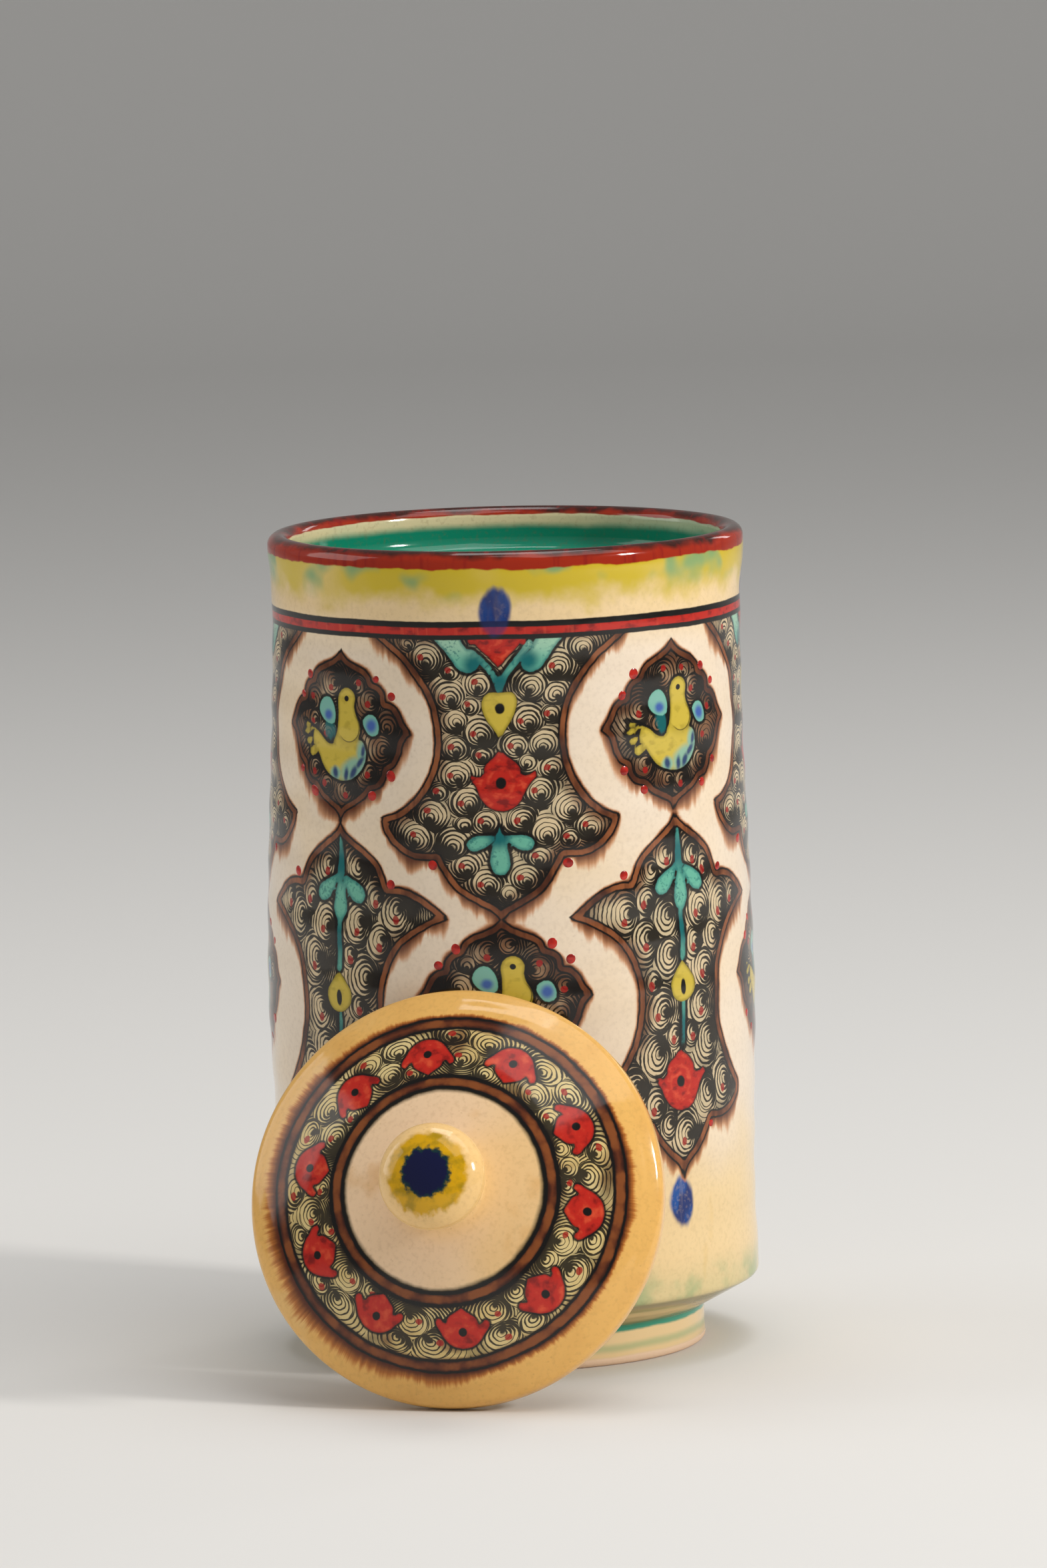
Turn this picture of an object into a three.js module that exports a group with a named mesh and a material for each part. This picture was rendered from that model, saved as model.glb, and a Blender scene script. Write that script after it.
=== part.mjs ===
// A lidded ceramic jar for sweets, thrown on the wheel, glazed and painted.
// The lid stands on its edge in front of the jar and leans back on the jar's wall.
// Millimetres, +Z up. Jar and lid are both turned about their own Z axis, then the lid is leaned.

import * as THREE from 'three';

// Jar, outside
const jarHeight = 204;         // table to the top of the lip
const rimRadius = 59;          // outside of the lip
const waistRadius = 58;        // narrowest place, under the lip
const bellyRadius = 60.3;      // widest place of the wall
const baseRadius = 59.6;       // the wall where it meets the undercut
const lipDrop = 5;             // lower end of the lip's bulge, below the top of the lip
const waistDrop = 32;          // waist, below the top of the lip
const bellyHeight = 88;        // belly, above the table
const baseHeight = 17.3;       // lower edge of the wall, above the table
const baseEdgeRound = 2;

// Jar, foot ring
const footRadius = 45.6;
const footHeight = 9.6;
const footRingWidth = 7;
const footOuterRound = 1.6;
const footInnerRound = 1.2;
const recessDepth = 5.5;       // hollow inside the foot ring
const turnedCornerRound = 1.2; // inner corners left by the turning tool

// Jar, inside
const lipWall = 5.5;
const lipFlat = 0.2;           // level part left between the two rounds of the lip
const wallThickness = 6;
const floorThickness = 8;
const floorCornerRadius = 9;
const ledgeDepth = 11;         // the ledge that carries the lid, below the top of the lip
const ledgeWidth = 8;
const ledgeThickness = 5;
const ledgeCornerRound = 3.5;  // inner corner between the ledge and the mouth's wall
const ledgeEdgeRound = 1.2;

// Lid
const lidClearance = 2.5;      // lid edge to the mouth's wall
const lidEdgeThickness = 6;
const lidWall = 6.5;
const lidEdgeRound = 3;        // upper corner of the edge
const lidSeatRound = 1.5;      // lower corner of the edge, which stands on the ledge
const lidSeatWidth = 8;        // lid edge to the hollow under the lid
const shoulderInset = 7.6;     // lid edge to the shoulder where the dome begins
const shoulderHeight = 10;
const domeBulge = 0.9;         // how far the dome stands above a straight cone
const hollowFullness = 0.62;   // share of the hollow's radius that pulls it out to its full depth
const crownRadius = 15;        // where the dome turns up into the knob
const crownHeight = 20.4;
const knobRadius = 13;
const knobNeckRadius = 10;
const knobNeckRound = 1.6;
const knobHeight = 40;         // underside of the lid's edge to the top of the knob
const knobHalfThickness = 7;

// How the lid leans
const leanAngle = 18.2;        // degrees back from upright
const leanSide = 12.5;         // degrees from the jar's front, towards its left
const leanShift = 1.8;         // sideways to the right of where it would lean squarely
const restGap = 0.3;           // lid to the jar's wall

// Fineness of the faceted shapes
const segmentsAround = 56;
const filletSteps = 2;
const wallSteps = 7;
const domeSteps = 7;
const hollowSteps = 6;
const knobSteps = 7;

const mouthRadius = rimRadius - lipWall;
const ledgeRadius = mouthRadius - ledgeWidth;
const ledgeTop = jarHeight - ledgeDepth;
const floorTop = recessDepth + floorThickness;
const lidRadius = mouthRadius - lidClearance;

function point(radius, height) {
  return new THREE.Vector2(radius, height);
}

// Replaces the corner of an outline with an arc that touches both of its sides.
function fillet(before, corner, after, radius) {
  const toBefore = before.clone().sub(corner).normalize();
  const toAfter = after.clone().sub(corner).normalize();
  const halfAngle = Math.acos(toBefore.dot(toAfter)) / 2;
  const reach = radius / Math.tan(halfAngle);
  const bisector = toBefore.clone().add(toAfter).normalize();
  const centre = corner.clone().addScaledVector(bisector, radius / Math.sin(halfAngle));
  const start = corner.clone().addScaledVector(toBefore, reach);
  const end = corner.clone().addScaledVector(toAfter, reach);
  const startAngle = start.clone().sub(centre).angle();
  const turn = end.clone().sub(centre).angle() - startAngle;
  const sweep = Math.atan2(Math.sin(turn), Math.cos(turn));
  const arc = [];
  for (let step = 0; step <= filletSteps; step += 1) {
    const angle = startAngle + sweep * step / filletSteps;
    arc.push(point(centre.x + radius * Math.cos(angle), centre.y + radius * Math.sin(angle)));
  }
  return arc;
}

// An outline from its corners. Each is a point with the radius that rounds it, or a plain point.
function outline(corners) {
  const places = corners.map((corner) => corner.at ?? corner);
  return corners.flatMap((corner, index) => {
    if (!corner.filletRadius) return [places[index]];
    return fillet(places[index - 1], places[index], places[index + 1], corner.filletRadius);
  });
}

function rounded(radius, height, filletRadius) {
  return { at: point(radius, height), filletRadius };
}

// The wall's outer line, from its lower edge to the lip.
const wallLine = new THREE.SplineCurve([
  point(baseRadius, baseHeight),
  point(bellyRadius, bellyHeight),
  point(waistRadius, jarHeight - waistDrop),
  point(rimRadius, jarHeight - lipDrop),
]);

// Radius of the wall's outer line at a height, found by halving the line again and again.
function wallRadius(height) {
  const halvings = 30;
  let low = 0;
  let high = 1;
  for (let halving = 0; halving < halvings; halving += 1) {
    const middle = (low + high) / 2;
    if (wallLine.getPoint(middle).y < height) low = middle;
    else high = middle;
  }
  return wallLine.getPoint(low).x;
}

// The wall between two heights, moved inwards by a thickness.
function wallPoints(from, to, inset) {
  const points = [];
  for (let step = 0; step <= wallSteps; step += 1) {
    const height = THREE.MathUtils.lerp(from, to, step / wallSteps);
    points.push(point(wallRadius(height) - inset, height));
  }
  return points;
}

function jarOutline() {
  const recessRadius = footRadius - footRingWidth;
  const ledgeFoot = ledgeTop - ledgeThickness;
  const lipRound = (lipWall - lipFlat) / 2;
  const innerTop = ledgeFoot - ledgeWidth;
  const innerFoot = floorTop + floorCornerRadius;
  const innerFootRadius = wallRadius(innerFoot) - wallThickness;
  const baseEdgeTop = baseHeight + 2 * baseEdgeRound;
  return outline([
    point(0, recessDepth),
    rounded(recessRadius, recessDepth, turnedCornerRound),
    rounded(recessRadius, 0, footInnerRound),
    rounded(footRadius, 0, footOuterRound),
    rounded(footRadius, footHeight, turnedCornerRound),
    rounded(baseRadius, baseHeight, baseEdgeRound),
    ...wallPoints(baseEdgeTop, jarHeight - lipDrop, 0),
    rounded(rimRadius, jarHeight, lipRound),
    rounded(mouthRadius, jarHeight, lipRound),
    rounded(mouthRadius, ledgeTop, ledgeCornerRound),
    rounded(ledgeRadius, ledgeTop, ledgeEdgeRound),
    rounded(ledgeRadius, ledgeFoot, ledgeEdgeRound),
    ...wallPoints(innerTop, innerFoot, wallThickness),
    rounded(innerFootRadius, floorTop, floorCornerRadius),
    point(0, floorTop),
  ]);
}

// The dome over the lid, from its rounded edge up to the foot of the knob.
function domeLine() {
  const shoulderRadius = lidRadius - shoulderInset;
  const middleRadius = (shoulderRadius + crownRadius) / 2;
  const middleHeight = (shoulderHeight + crownHeight) / 2 + domeBulge;
  return new THREE.SplineCurve([
    point(lidRadius - lidEdgeRound, lidEdgeThickness),
    point(shoulderRadius, shoulderHeight),
    point(middleRadius, middleHeight),
    point(crownRadius, crownHeight),
  ]);
}

// The knob: a flattened ball on a short neck, from the neck to the top.
function knobPoints() {
  const centre = knobHeight - knobHalfThickness;
  const neckAngle = Math.acos(knobNeckRadius / knobRadius);
  const points = [];
  for (let step = 0; step < knobSteps; step += 1) {
    const angle = THREE.MathUtils.lerp(-neckAngle, Math.PI / 2, step / knobSteps);
    points.push(point(knobRadius * Math.cos(angle), centre + knobHalfThickness * Math.sin(angle)));
  }
  points.push(point(0, knobHeight));
  return points;
}

function lidOutline() {
  const hollowRadius = lidRadius - lidSeatWidth;
  const hollowTop = crownHeight - lidWall;
  const hollow = new THREE.QuadraticBezierCurve(
    point(0, hollowTop),
    point(hollowRadius * hollowFullness, hollowTop),
    point(hollowRadius, 0),
  );
  return outline([
    ...hollow.getPoints(hollowSteps),
    rounded(lidRadius, 0, lidSeatRound),
    rounded(lidRadius, lidEdgeThickness, lidEdgeRound),
    ...domeLine().getPoints(domeSteps),
    rounded(knobNeckRadius, crownHeight + knobNeckRound, knobNeckRound),
    ...knobPoints(),
  ]);
}

function glazedPiece(name, profile, color) {
  const geometry = new THREE.LatheGeometry(profile, segmentsAround);
  geometry.rotateX(Math.PI / 2);
  const material = new THREE.MeshStandardMaterial({ color, roughness: 0.18, metalness: 0 });
  const mesh = new THREE.Mesh(geometry, material);
  mesh.name = name;
  return mesh;
}

// Every point of a mesh, where its own position and rotation put it.
function placedPoints(mesh) {
  mesh.updateMatrix();
  const places = mesh.geometry.attributes.position;
  return Array.from({ length: places.count }, (_, index) => (
    new THREE.Vector3().fromBufferAttribute(places, index).applyMatrix4(mesh.matrix)
  ));
}

// Leans the lid back, stands its lowest edge on the table and slides it up to the jar's wall.
function leanedLid(lid) {
  lid.rotation.x = Math.PI / 2 - THREE.MathUtils.degToRad(leanAngle);
  lid.position.x = leanShift;
  lid.position.z = -Math.min(...placedPoints(lid).map((place) => place.z));
  const reaches = placedPoints(lid).map((place) => {
    const clear = wallRadius(Math.max(place.z, baseHeight)) + restGap;
    return place.y + Math.sqrt(Math.max(clear ** 2 - place.x ** 2, 0));
  });
  lid.position.y = -Math.max(...reaches);
  const turned = new THREE.Group();
  turned.rotation.z = -THREE.MathUtils.degToRad(leanSide);
  turned.add(lid);
  return turned;
}

const jar = glazedPiece('jar', jarOutline(), 0xe3cfa9);
const lid = glazedPiece('lid', lidOutline(), 0xe0b163);
const model = new THREE.Group();
model.add(jar, leanedLid(lid));

// The origin is on the table, under the middle of the box round both pieces.
model.updateMatrixWorld(true);
const extent = new THREE.Box3().setFromObject(model, true);
const middle = extent.getCenter(new THREE.Vector3());
model.position.set(-middle.x, -middle.y, -extent.min.z);
const part = new THREE.Group();
part.add(model);

export default part;
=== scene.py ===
import math

import bmesh
import bpy
import numpy as np
from mathutils import Matrix, Vector


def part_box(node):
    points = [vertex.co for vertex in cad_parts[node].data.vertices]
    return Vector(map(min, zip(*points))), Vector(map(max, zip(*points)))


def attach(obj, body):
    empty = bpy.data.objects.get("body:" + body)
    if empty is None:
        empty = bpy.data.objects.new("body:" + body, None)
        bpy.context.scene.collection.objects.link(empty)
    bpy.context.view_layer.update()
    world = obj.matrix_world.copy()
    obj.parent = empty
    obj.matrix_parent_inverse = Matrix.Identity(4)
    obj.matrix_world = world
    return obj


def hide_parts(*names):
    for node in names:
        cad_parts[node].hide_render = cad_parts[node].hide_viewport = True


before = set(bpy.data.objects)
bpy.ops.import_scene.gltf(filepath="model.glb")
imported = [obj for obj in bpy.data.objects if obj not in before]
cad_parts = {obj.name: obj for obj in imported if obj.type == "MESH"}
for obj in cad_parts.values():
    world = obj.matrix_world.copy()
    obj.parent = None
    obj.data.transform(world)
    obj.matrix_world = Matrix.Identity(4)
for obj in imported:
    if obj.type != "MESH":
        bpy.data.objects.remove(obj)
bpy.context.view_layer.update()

mm = 0.001
farAway = 60.0  # depth given to places that a shape doesn't reach, in mm


# Camera, floor and lamps

studio = {
    "cameraBehind": 2421.5,     # camera to the jar's axis, mm
    "cameraHeight": 445.0,
    "lookDown": 0.12532,        # radians
    "lookAside": 0.00131,
    "tilt": -0.02304,
    "lensFactor": 14708.2,      # focal length in pixels of a picture 2349 high
    "pictureHeight": 2349,
    "floorColour": (0.74, 0.73, 0.71),
    "worldLight": 0.3,
    "reach": 1.75,              # lamps to the jar, m
    # front and back end, radius of the sweep into the backdrop, height and half width, in m
    "floor": {"front": -5.0, "back": 3.0, "sweep": 1.0, "steps": 16, "top": 4.5, "half": 5.0},
    # turn from the front towards the right, height, both in degrees, then width, length and power
    "lamps": {
        "keyLamp": (62, 24, 0.20, 0.26, 16.0, (1.0, 0.97, 0.93)),
        "frontLamp": (46, 64, 1.30, 1.10, 9.0, (1.0, 0.98, 0.95)),
        "sideLamp": (-94, 24, 1.10, 1.10, 7.0, (1.0, 0.98, 0.95)),
        "rimLamp": (140, 22, 0.20, 0.50, 1.0, (1.0, 1.0, 1.0)),
        "topLamp": (165, 80, 0.80, 0.80, 8.0, (1.0, 1.0, 1.0)),
    },
}


def addObject(name, data):
    thing = bpy.data.objects.new(name, data)
    bpy.context.scene.collection.objects.link(thing)
    return thing


def axisOf(node):
    low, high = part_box(node)
    return (low.x + high.x) / 2, (low.y + high.y) / 2


jarX, jarY = axisOf("jar")


def makeCamera(s):
    down, aside, tilt = s["lookDown"], s["lookAside"], s["tilt"]
    ahead = Vector((math.sin(aside) * math.cos(down), math.cos(aside) * math.cos(down), -math.sin(down)))
    level = Vector((math.cos(aside), -math.sin(aside), 0))
    upright = level.cross(ahead)
    right = math.cos(tilt) * level + math.sin(tilt) * upright
    up = -math.sin(tilt) * level + math.cos(tilt) * upright
    data = bpy.data.cameras.new("photoCamera")
    data.sensor_fit = "VERTICAL"
    data.sensor_height = 36
    data.lens = s["lensFactor"] * data.sensor_height / s["pictureHeight"]
    data.clip_end = 20
    camera = addObject("photoCamera", data)
    turn = Matrix((right, up, -ahead)).transposed().to_4x4()
    place = Vector((jarX, jarY - s["cameraBehind"] * mm, s["cameraHeight"] * mm))
    camera.matrix_world = Matrix.Translation(place) @ turn
    bpy.context.scene.camera = camera


def areaLamp(name, aim, reach, turn, rise, width, length, power, colour):
    data = bpy.data.lights.new(name, "AREA")
    data.shape = "RECTANGLE"
    data.size, data.size_y = width, length
    data.energy = power
    data.color = colour
    lamp = addObject(name, data)
    turn, rise = math.radians(turn), math.radians(rise)
    away = Vector((math.sin(turn) * math.cos(rise), -math.cos(turn) * math.cos(rise), math.sin(rise)))
    lamp.location = aim + away * reach
    lamp.rotation_euler = (-away).to_track_quat("-Z", "Y").to_euler()


def makeStudio(s):
    for name, lamp in s["lamps"].items():
        areaLamp(name, Vector((jarX, jarY, 0.1)), s["reach"], *lamp)
    world = bpy.data.worlds.new("studioWorld")
    world.use_nodes = True
    light = world.node_tree.nodes["Background"].inputs
    light["Color"].default_value = (1, 1, 1, 1)
    light["Strength"].default_value = s["worldLight"]
    bpy.context.scene.world = world


def makeFloor(f, colour):
    # paper that sweeps up further off than the camera, so that the jar is seen from behind too
    line = [(f["front"], 0.0), (f["back"], 0.0)]
    for step in range(1, f["steps"] + 1):
        angle = math.pi / 2 * step / f["steps"]
        line.append((f["back"] + f["sweep"] * math.sin(angle), f["sweep"] * (1 - math.cos(angle))))
    line.append((f["back"] + f["sweep"], f["top"]))
    mesh = bpy.data.meshes.new("studioFloor")
    points = [(side * f["half"], y, z) for y, z in line for side in (-1, 1)]
    faces = [(2 * i, 2 * i + 1, 2 * i + 3, 2 * i + 2) for i in range(len(line) - 1)]
    mesh.from_pydata(points, [], faces)
    mesh.polygons.foreach_set("use_smooth", [True] * len(faces))
    floor = addObject("studioFloor", mesh)
    paper = bpy.data.materials.new("palePaper")
    paper.use_nodes = True
    shader = paper.node_tree.nodes["Principled BSDF"]
    shader.inputs["Base Color"].default_value = (*colour, 1)
    shader.inputs["Roughness"].default_value = 0.9
    mesh.materials.append(paper)


makeCamera(studio)
makeStudio(studio)
makeFloor(studio["floor"], studio["floorColour"])
bpy.context.scene.view_settings.view_transform = "Standard"
print("camera, floor and lamps are set")


# Small tools for outlines, in mm

def shortWay(gap, turn):
    # a distance round something, taken the short way
    return (gap + turn / 2) % turn - turn / 2


def filletedLine(corners, steps):
    # corners are (radius, height, rounding); a rounding of 0 keeps the point as it is
    line = []
    for index, (r, z, rounding) in enumerate(corners):
        here = np.array((r, z), float)
        if not rounding:
            line.append(here)
            continue
        before = np.array(corners[index - 1][:2]) - here
        after = np.array(corners[index + 1][:2]) - here
        before, after = before / np.linalg.norm(before), after / np.linalg.norm(after)
        half = math.acos(np.clip(before @ after, -1, 1)) / 2
        middle = (before + after) / np.linalg.norm(before + after)
        centre = here + middle * rounding / math.sin(half)
        start = here + before * rounding / math.tan(half) - centre
        end = here + after * rounding / math.tan(half) - centre
        first = math.atan2(start[1], start[0])
        sweep = shortWay(math.atan2(end[1], end[0]) - first, 2 * math.pi)
        for step in range(steps + 1):
            angle = first + sweep * step / steps
            line.append(centre + rounding * np.array((math.cos(angle), math.sin(angle))))
    return np.array(line)


def spaced(line, gap):
    # the same line with points no further apart than gap
    out = [line[0]]
    for a, b in zip(line[:-1], line[1:]):
        parts = max(1, math.ceil(np.linalg.norm(b - a) / gap))
        out += [a + (b - a) * part / parts for part in range(1, parts + 1)]
    return np.array(out)


lineSteps = 6  # points of a smooth line for each chosen one


def softLine(points, steps=lineSteps):
    # a smooth line through given points
    points = np.array(points, float)
    wide = np.vstack([2 * points[0] - points[1], points, 2 * points[-1] - points[-2]])
    t = np.linspace(0, 1, steps, endpoint=False)[:, None]
    out = []
    for i in range(len(points) - 1):
        a, b, c, d = wide[i:i + 4]
        out.append(0.5 * (2 * b + (c - a) * t + (2 * a - 5 * b + 4 * c - d) * t ** 2
                          + (3 * b - a - 3 * c + d) * t ** 3))
    return np.vstack(out + [points[-1:]])


def softShape(*stretches):
    # a closed shape whose stretches are smooth and meet in corners
    return np.vstack([softLine(stretch)[:-1] for stretch in stretches])


def softLoop(points):
    # a closed smooth shape with no corners
    wide = np.vstack([points[-2:], points, points[:3]])
    return softLine(wide)[2 * lineSteps:-2 * lineSteps - 1]


def bothSides(*stretches):
    # right half from top to bottom, then its mirror image back up
    right = [softLine(stretch) for stretch in stretches]
    left = [half[::-1] * (-1, 1) for half in right[::-1]]
    return np.vstack([half[:-1] for half in right + left])


def depthInside(places, shape):
    # distance to a closed shape's edge in mm: above 0 inside it, below 0 outside
    x, z = places[:, 0], places[:, 1]
    nearest = np.full(len(places), 1e9)
    inside = np.zeros(len(places), bool)
    for a, b in zip(shape, np.roll(shape, -1, 0)):
        ex, ez = b - a
        share = np.clip(((x - a[0]) * ex + (z - a[1]) * ez) / max(ex * ex + ez * ez, 1e-12), 0, 1)
        nearest = np.minimum(nearest, (x - a[0] - share * ex) ** 2 + (z - a[1] - share * ez) ** 2)
        if ez:
            inside ^= ((a[1] > z) != (b[1] > z)) & (x < a[0] + (z - a[1]) / ez * ex)
    return np.where(inside, 1, -1) * np.sqrt(nearest)


def depthInStroke(places, line, halfWidths):
    # a brush stroke along a line, with its half width at each end
    x, z = places[:, 0], places[:, 1]
    best = np.full(len(places), -farAway)
    line = np.array(line, float)
    widths = np.linspace(*halfWidths, len(line))
    for a, b, wa, wb in zip(line[:-1], line[1:], widths[:-1], widths[1:]):
        ex, ez = b - a
        share = np.clip(((x - a[0]) * ex + (z - a[1]) * ez) / (ex * ex + ez * ez), 0, 1)
        gap = np.hypot(x - a[0] - share * ex, z - a[1] - share * ez)
        best = np.maximum(best, wa + (wb - wa) * share - gap)
    return best


def depthInOval(places, centre, half, turn=0.0):
    dx, dz = places[:, 0] - centre[0], places[:, 1] - centre[1]
    c, s = math.cos(turn), math.sin(turn)
    u, v = (dx * c + dz * s) / half[0], (dz * c - dx * s) / half[1]
    return (1 - np.hypot(u, v)) * min(half)


# The thrown forms: one node tree turns an outline into a fired body

def addNode(tree, kind, **settings):
    node = tree.nodes.new(kind)
    for key, value in settings.items():
        setattr(node, key, value)
    return node


class Flow:
    # a value on its way between nodes; the plain signs + - * / on it add math nodes
    def __init__(self, wiring, socket):
        self.wiring = wiring
        self.socket = socket

    def __add__(self, other):
        return self.wiring.math("ADD", self, other)

    def __radd__(self, other):
        return self.wiring.math("ADD", other, self)

    def __sub__(self, other):
        return self.wiring.math("SUBTRACT", self, other)

    def __rsub__(self, other):
        return self.wiring.math("SUBTRACT", other, self)

    def __mul__(self, other):
        return self.wiring.math("MULTIPLY", self, other)

    def __rmul__(self, other):
        return self.wiring.math("MULTIPLY", other, self)

    def __truediv__(self, other):
        return self.wiring.math("DIVIDE", self, other)

    def __rtruediv__(self, other):
        return self.wiring.math("DIVIDE", other, self)


class Wiring:
    # short words for the nodes of a tree, either geometry or shader
    def __init__(self, tree):
        self.tree = tree

    def feed(self, socket, value):
        if isinstance(value, Flow):
            self.tree.links.new(value.socket, socket)
        else:
            socket.default_value = value

    def node(self, kind, feeds={}, output=0, **settings):
        # a new node with its inputs fed by name or number, as the flow from one of its outputs
        made = addNode(self.tree, kind, **settings)
        for socket, value in feeds.items():
            if value is not None:
                self.feed(made.inputs[socket], value)
        return Flow(self, made.outputs[output])

    def math(self, operation, a, b=None):
        return self.node("ShaderNodeMath", {0: a, 1: b}, operation=operation)

    def least(self, a, b):
        return self.math("MINIMUM", a, b)

    def most(self, a, b):
        return self.math("MAXIMUM", a, b)

    def size(self, a):
        return self.math("ABSOLUTE", a)

    def vector(self, operation, a, b=None, scale=None):
        output = "Value" if operation == "LENGTH" else "Vector"
        return self.node("ShaderNodeVectorMath", {0: a, 1: b, "Scale": scale}, output, operation=operation)

    def split(self, a):
        first = self.node("ShaderNodeSeparateXYZ", {0: a})
        return [Flow(self, socket) for socket in first.socket.node.outputs]

    def pack(self, x, y, z):
        return self.node("ShaderNodeCombineXYZ", {0: x, 1: y, 2: z})

    def ramp(self, value, low, high, fromValue=0.0, toValue=1.0, soft=True):
        feeds = {"Value": value, "From Min": low, "From Max": high, "To Min": fromValue, "To Max": toValue}
        return self.node("ShaderNodeMapRange", feeds, "Result",
                         interpolation_type="SMOOTHSTEP" if soft else "LINEAR")

    def noise(self, place, scale, detail=2.0, rough=0.5):
        feeds = {"Vector": place, "Scale": scale, "Detail": detail, "Roughness": rough}
        return self.node("ShaderNodeTexNoise", feeds)

    def waver(self, amount, place, scale, detail=2.0):
        # noise that swings half the amount to both sides of 0
        return (self.noise(place, scale, detail) - 0.5) * amount

    def stretched(self, place, up):
        return self.vector("MULTIPLY", place, (1, 1, up))


def formTreeWith(name, inputs):
    # a geometry tree with named inputs, the words to wire it and the flows from its inputs
    tree = bpy.data.node_groups.new(name, "GeometryNodeTree")
    for title, kind, value in inputs:
        socket = tree.interface.new_socket(title, in_out="INPUT", socket_type="NodeSocket" + kind)
        if value is not None:
            socket.default_value = value
    tree.interface.new_socket("Geometry", in_out="OUTPUT", socket_type="NodeSocketGeometry")
    w = Wiring(tree)
    sockets = addNode(tree, "NodeGroupInput").outputs
    return tree, w, {title: Flow(w, sockets[title]) for title, kind, value in inputs}


def thrownFormTree():
    tree, w, given = formTreeWith("thrownForm", (
        ("Outline", "Object", None), ("Around", "Int", 64), ("Ring Depth", "Float", 0.0),
        ("Ring Pitch", "Float", 0.01), ("Wobble", "Float", 0.0), ("Wobble Size", "Float", 0.05),
        ("Lean", "Float", 0.0), ("Height", "Float", 0.2), ("Seed", "Float", 0.0),
        ("Finish", "Material", None)))
    outline = w.node("GeometryNodeObjectInfo", {"Object": given["Outline"]}, "Geometry")
    count = w.node("GeometryNodeAttributeDomainSize", {"Geometry": outline}, "Point Count", component="MESH")
    columns = given["Around"] + 1
    grid = w.node("GeometryNodeMeshGrid", {"Vertices X": count, "Vertices Y": columns}, "Mesh")
    index = w.node("GeometryNodeInputIndex")
    ring = w.math("FLOOR", (index + 0.5) / columns)
    step = w.math("FLOOR", index - ring * columns + 0.5)
    turn = w.math("MODULO", step, given["Around"]) / given["Around"] - 0.5
    sampled = {"Geometry": outline, "Value": w.node("GeometryNodeInputPosition"), "Index": ring}
    place = w.node("GeometryNodeSampleIndex", sampled, "Value", data_type="FLOAT_VECTOR")
    radius, _, height = w.split(place)
    angle = turn * (2 * math.pi)
    outward = w.pack(w.math("SINE", angle), w.math("COSINE", angle) * -1, 0)
    base = w.vector("ADD", w.vector("SCALE", outward, scale=radius), w.pack(0, 0, height))
    # throwing rings climb in a spiral, and fade out near the axis
    climb = height / given["Ring Pitch"] + turn
    rings = w.math("SINE", climb * (2 * math.pi)) * given["Ring Depth"]
    shifted = w.vector("ADD", base, w.pack(given["Seed"], 0, given["Seed"]))
    hand = w.waver(given["Wobble"] * 2, shifted, 1 / given["Wobble Size"], 1.0)
    push = (rings + hand) * w.ramp(radius, 0.012, 0.035)
    lean = w.math("SINE", height / given["Height"] * math.pi) * given["Lean"]
    offset = w.vector("ADD", w.vector("SCALE", outward, scale=push), w.pack(lean, 0, 0))
    form = w.node("GeometryNodeSetPosition", {"Geometry": grid, "Position": w.vector("ADD", base, offset)})
    for name, value in (("ring", ring), ("turn", turn), ("outlineHeight", height), ("outlineRadius", radius)):
        form = w.node("GeometryNodeStoreNamedAttribute", {"Geometry": form, "Name": name, "Value": value},
                      data_type="FLOAT", domain="POINT")
    form = w.node("GeometryNodeMergeByDistance", {"Geometry": form, "Distance": 1e-6})
    form = w.node("GeometryNodeSetShadeSmooth", {"Geometry": form})
    form = w.node("GeometryNodeRealizeInstances", {"Geometry": form})
    form = w.node("GeometryNodeSetMaterial", {"Geometry": form, "Material": given["Finish"]})
    w.feed(addNode(tree, "NodeGroupOutput").inputs[0], form)
    return tree


def treePiece(name, tree, values):
    # what a node tree makes, as a mesh of its own with no modifier left
    holder = addObject(name + "Holder", bpy.data.meshes.new(name + "Holder"))
    modifier = holder.modifiers.new(tree.name, "NODES")
    modifier.node_group = tree
    # each input is set by its socket's identifier, before anything is evaluated
    for item in tree.interface.items_tree:
        if item.item_type == "SOCKET" and item.in_out == "INPUT" and item.name in values:
            modifier[item.identifier] = values[item.name]
    view = bpy.context.evaluated_depsgraph_get()
    mesh = bpy.data.meshes.new_from_object(holder.evaluated_get(view))
    mesh.name = name
    bpy.data.objects.remove(holder)
    faceOutwards(mesh)
    return addObject(name, mesh)


def faceOutwards(mesh):
    work = bmesh.new()
    work.from_mesh(mesh)
    bmesh.ops.recalc_face_normals(work, faces=work.faces)
    work.to_mesh(mesh)
    work.free()


def throwForm(name, line, settings, material, tree):
    outline = bpy.data.meshes.new(name + "Outline")
    places = [(r * mm, 0, z * mm) for r, z in line]
    outline.from_pydata(places, [(i, i + 1) for i in range(len(line) - 1)], [])
    guide = addObject(name + "Outline", outline)
    piece = treePiece(name, tree, {**settings, "Outline": guide, "Finish": material})
    bpy.data.objects.remove(guide)
    return piece


def readPoints(mesh, name):
    values = np.zeros(len(mesh.vertices))
    mesh.attributes[name].data.foreach_get("value", values)
    return values


def writePoints(mesh, name, values):
    mesh.attributes.new(name, "FLOAT", "POINT").data.foreach_set("value", values.astype(np.float32))


def writeCorners(mesh, name, values):
    attribute = mesh.attributes.new(name, "FLOAT_VECTOR", "CORNER")
    attribute.data.foreach_set("vector", values.astype(np.float32).ravel())


def emptyCorners(mesh):
    return np.full((len(mesh.loops), 3), farAway)


def closedUp(values, turn):
    # values at a face's corners without a jump where the turn closes
    return np.where(values.max(1, keepdims=True) - values > turn / 2, values + turn, values)


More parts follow.
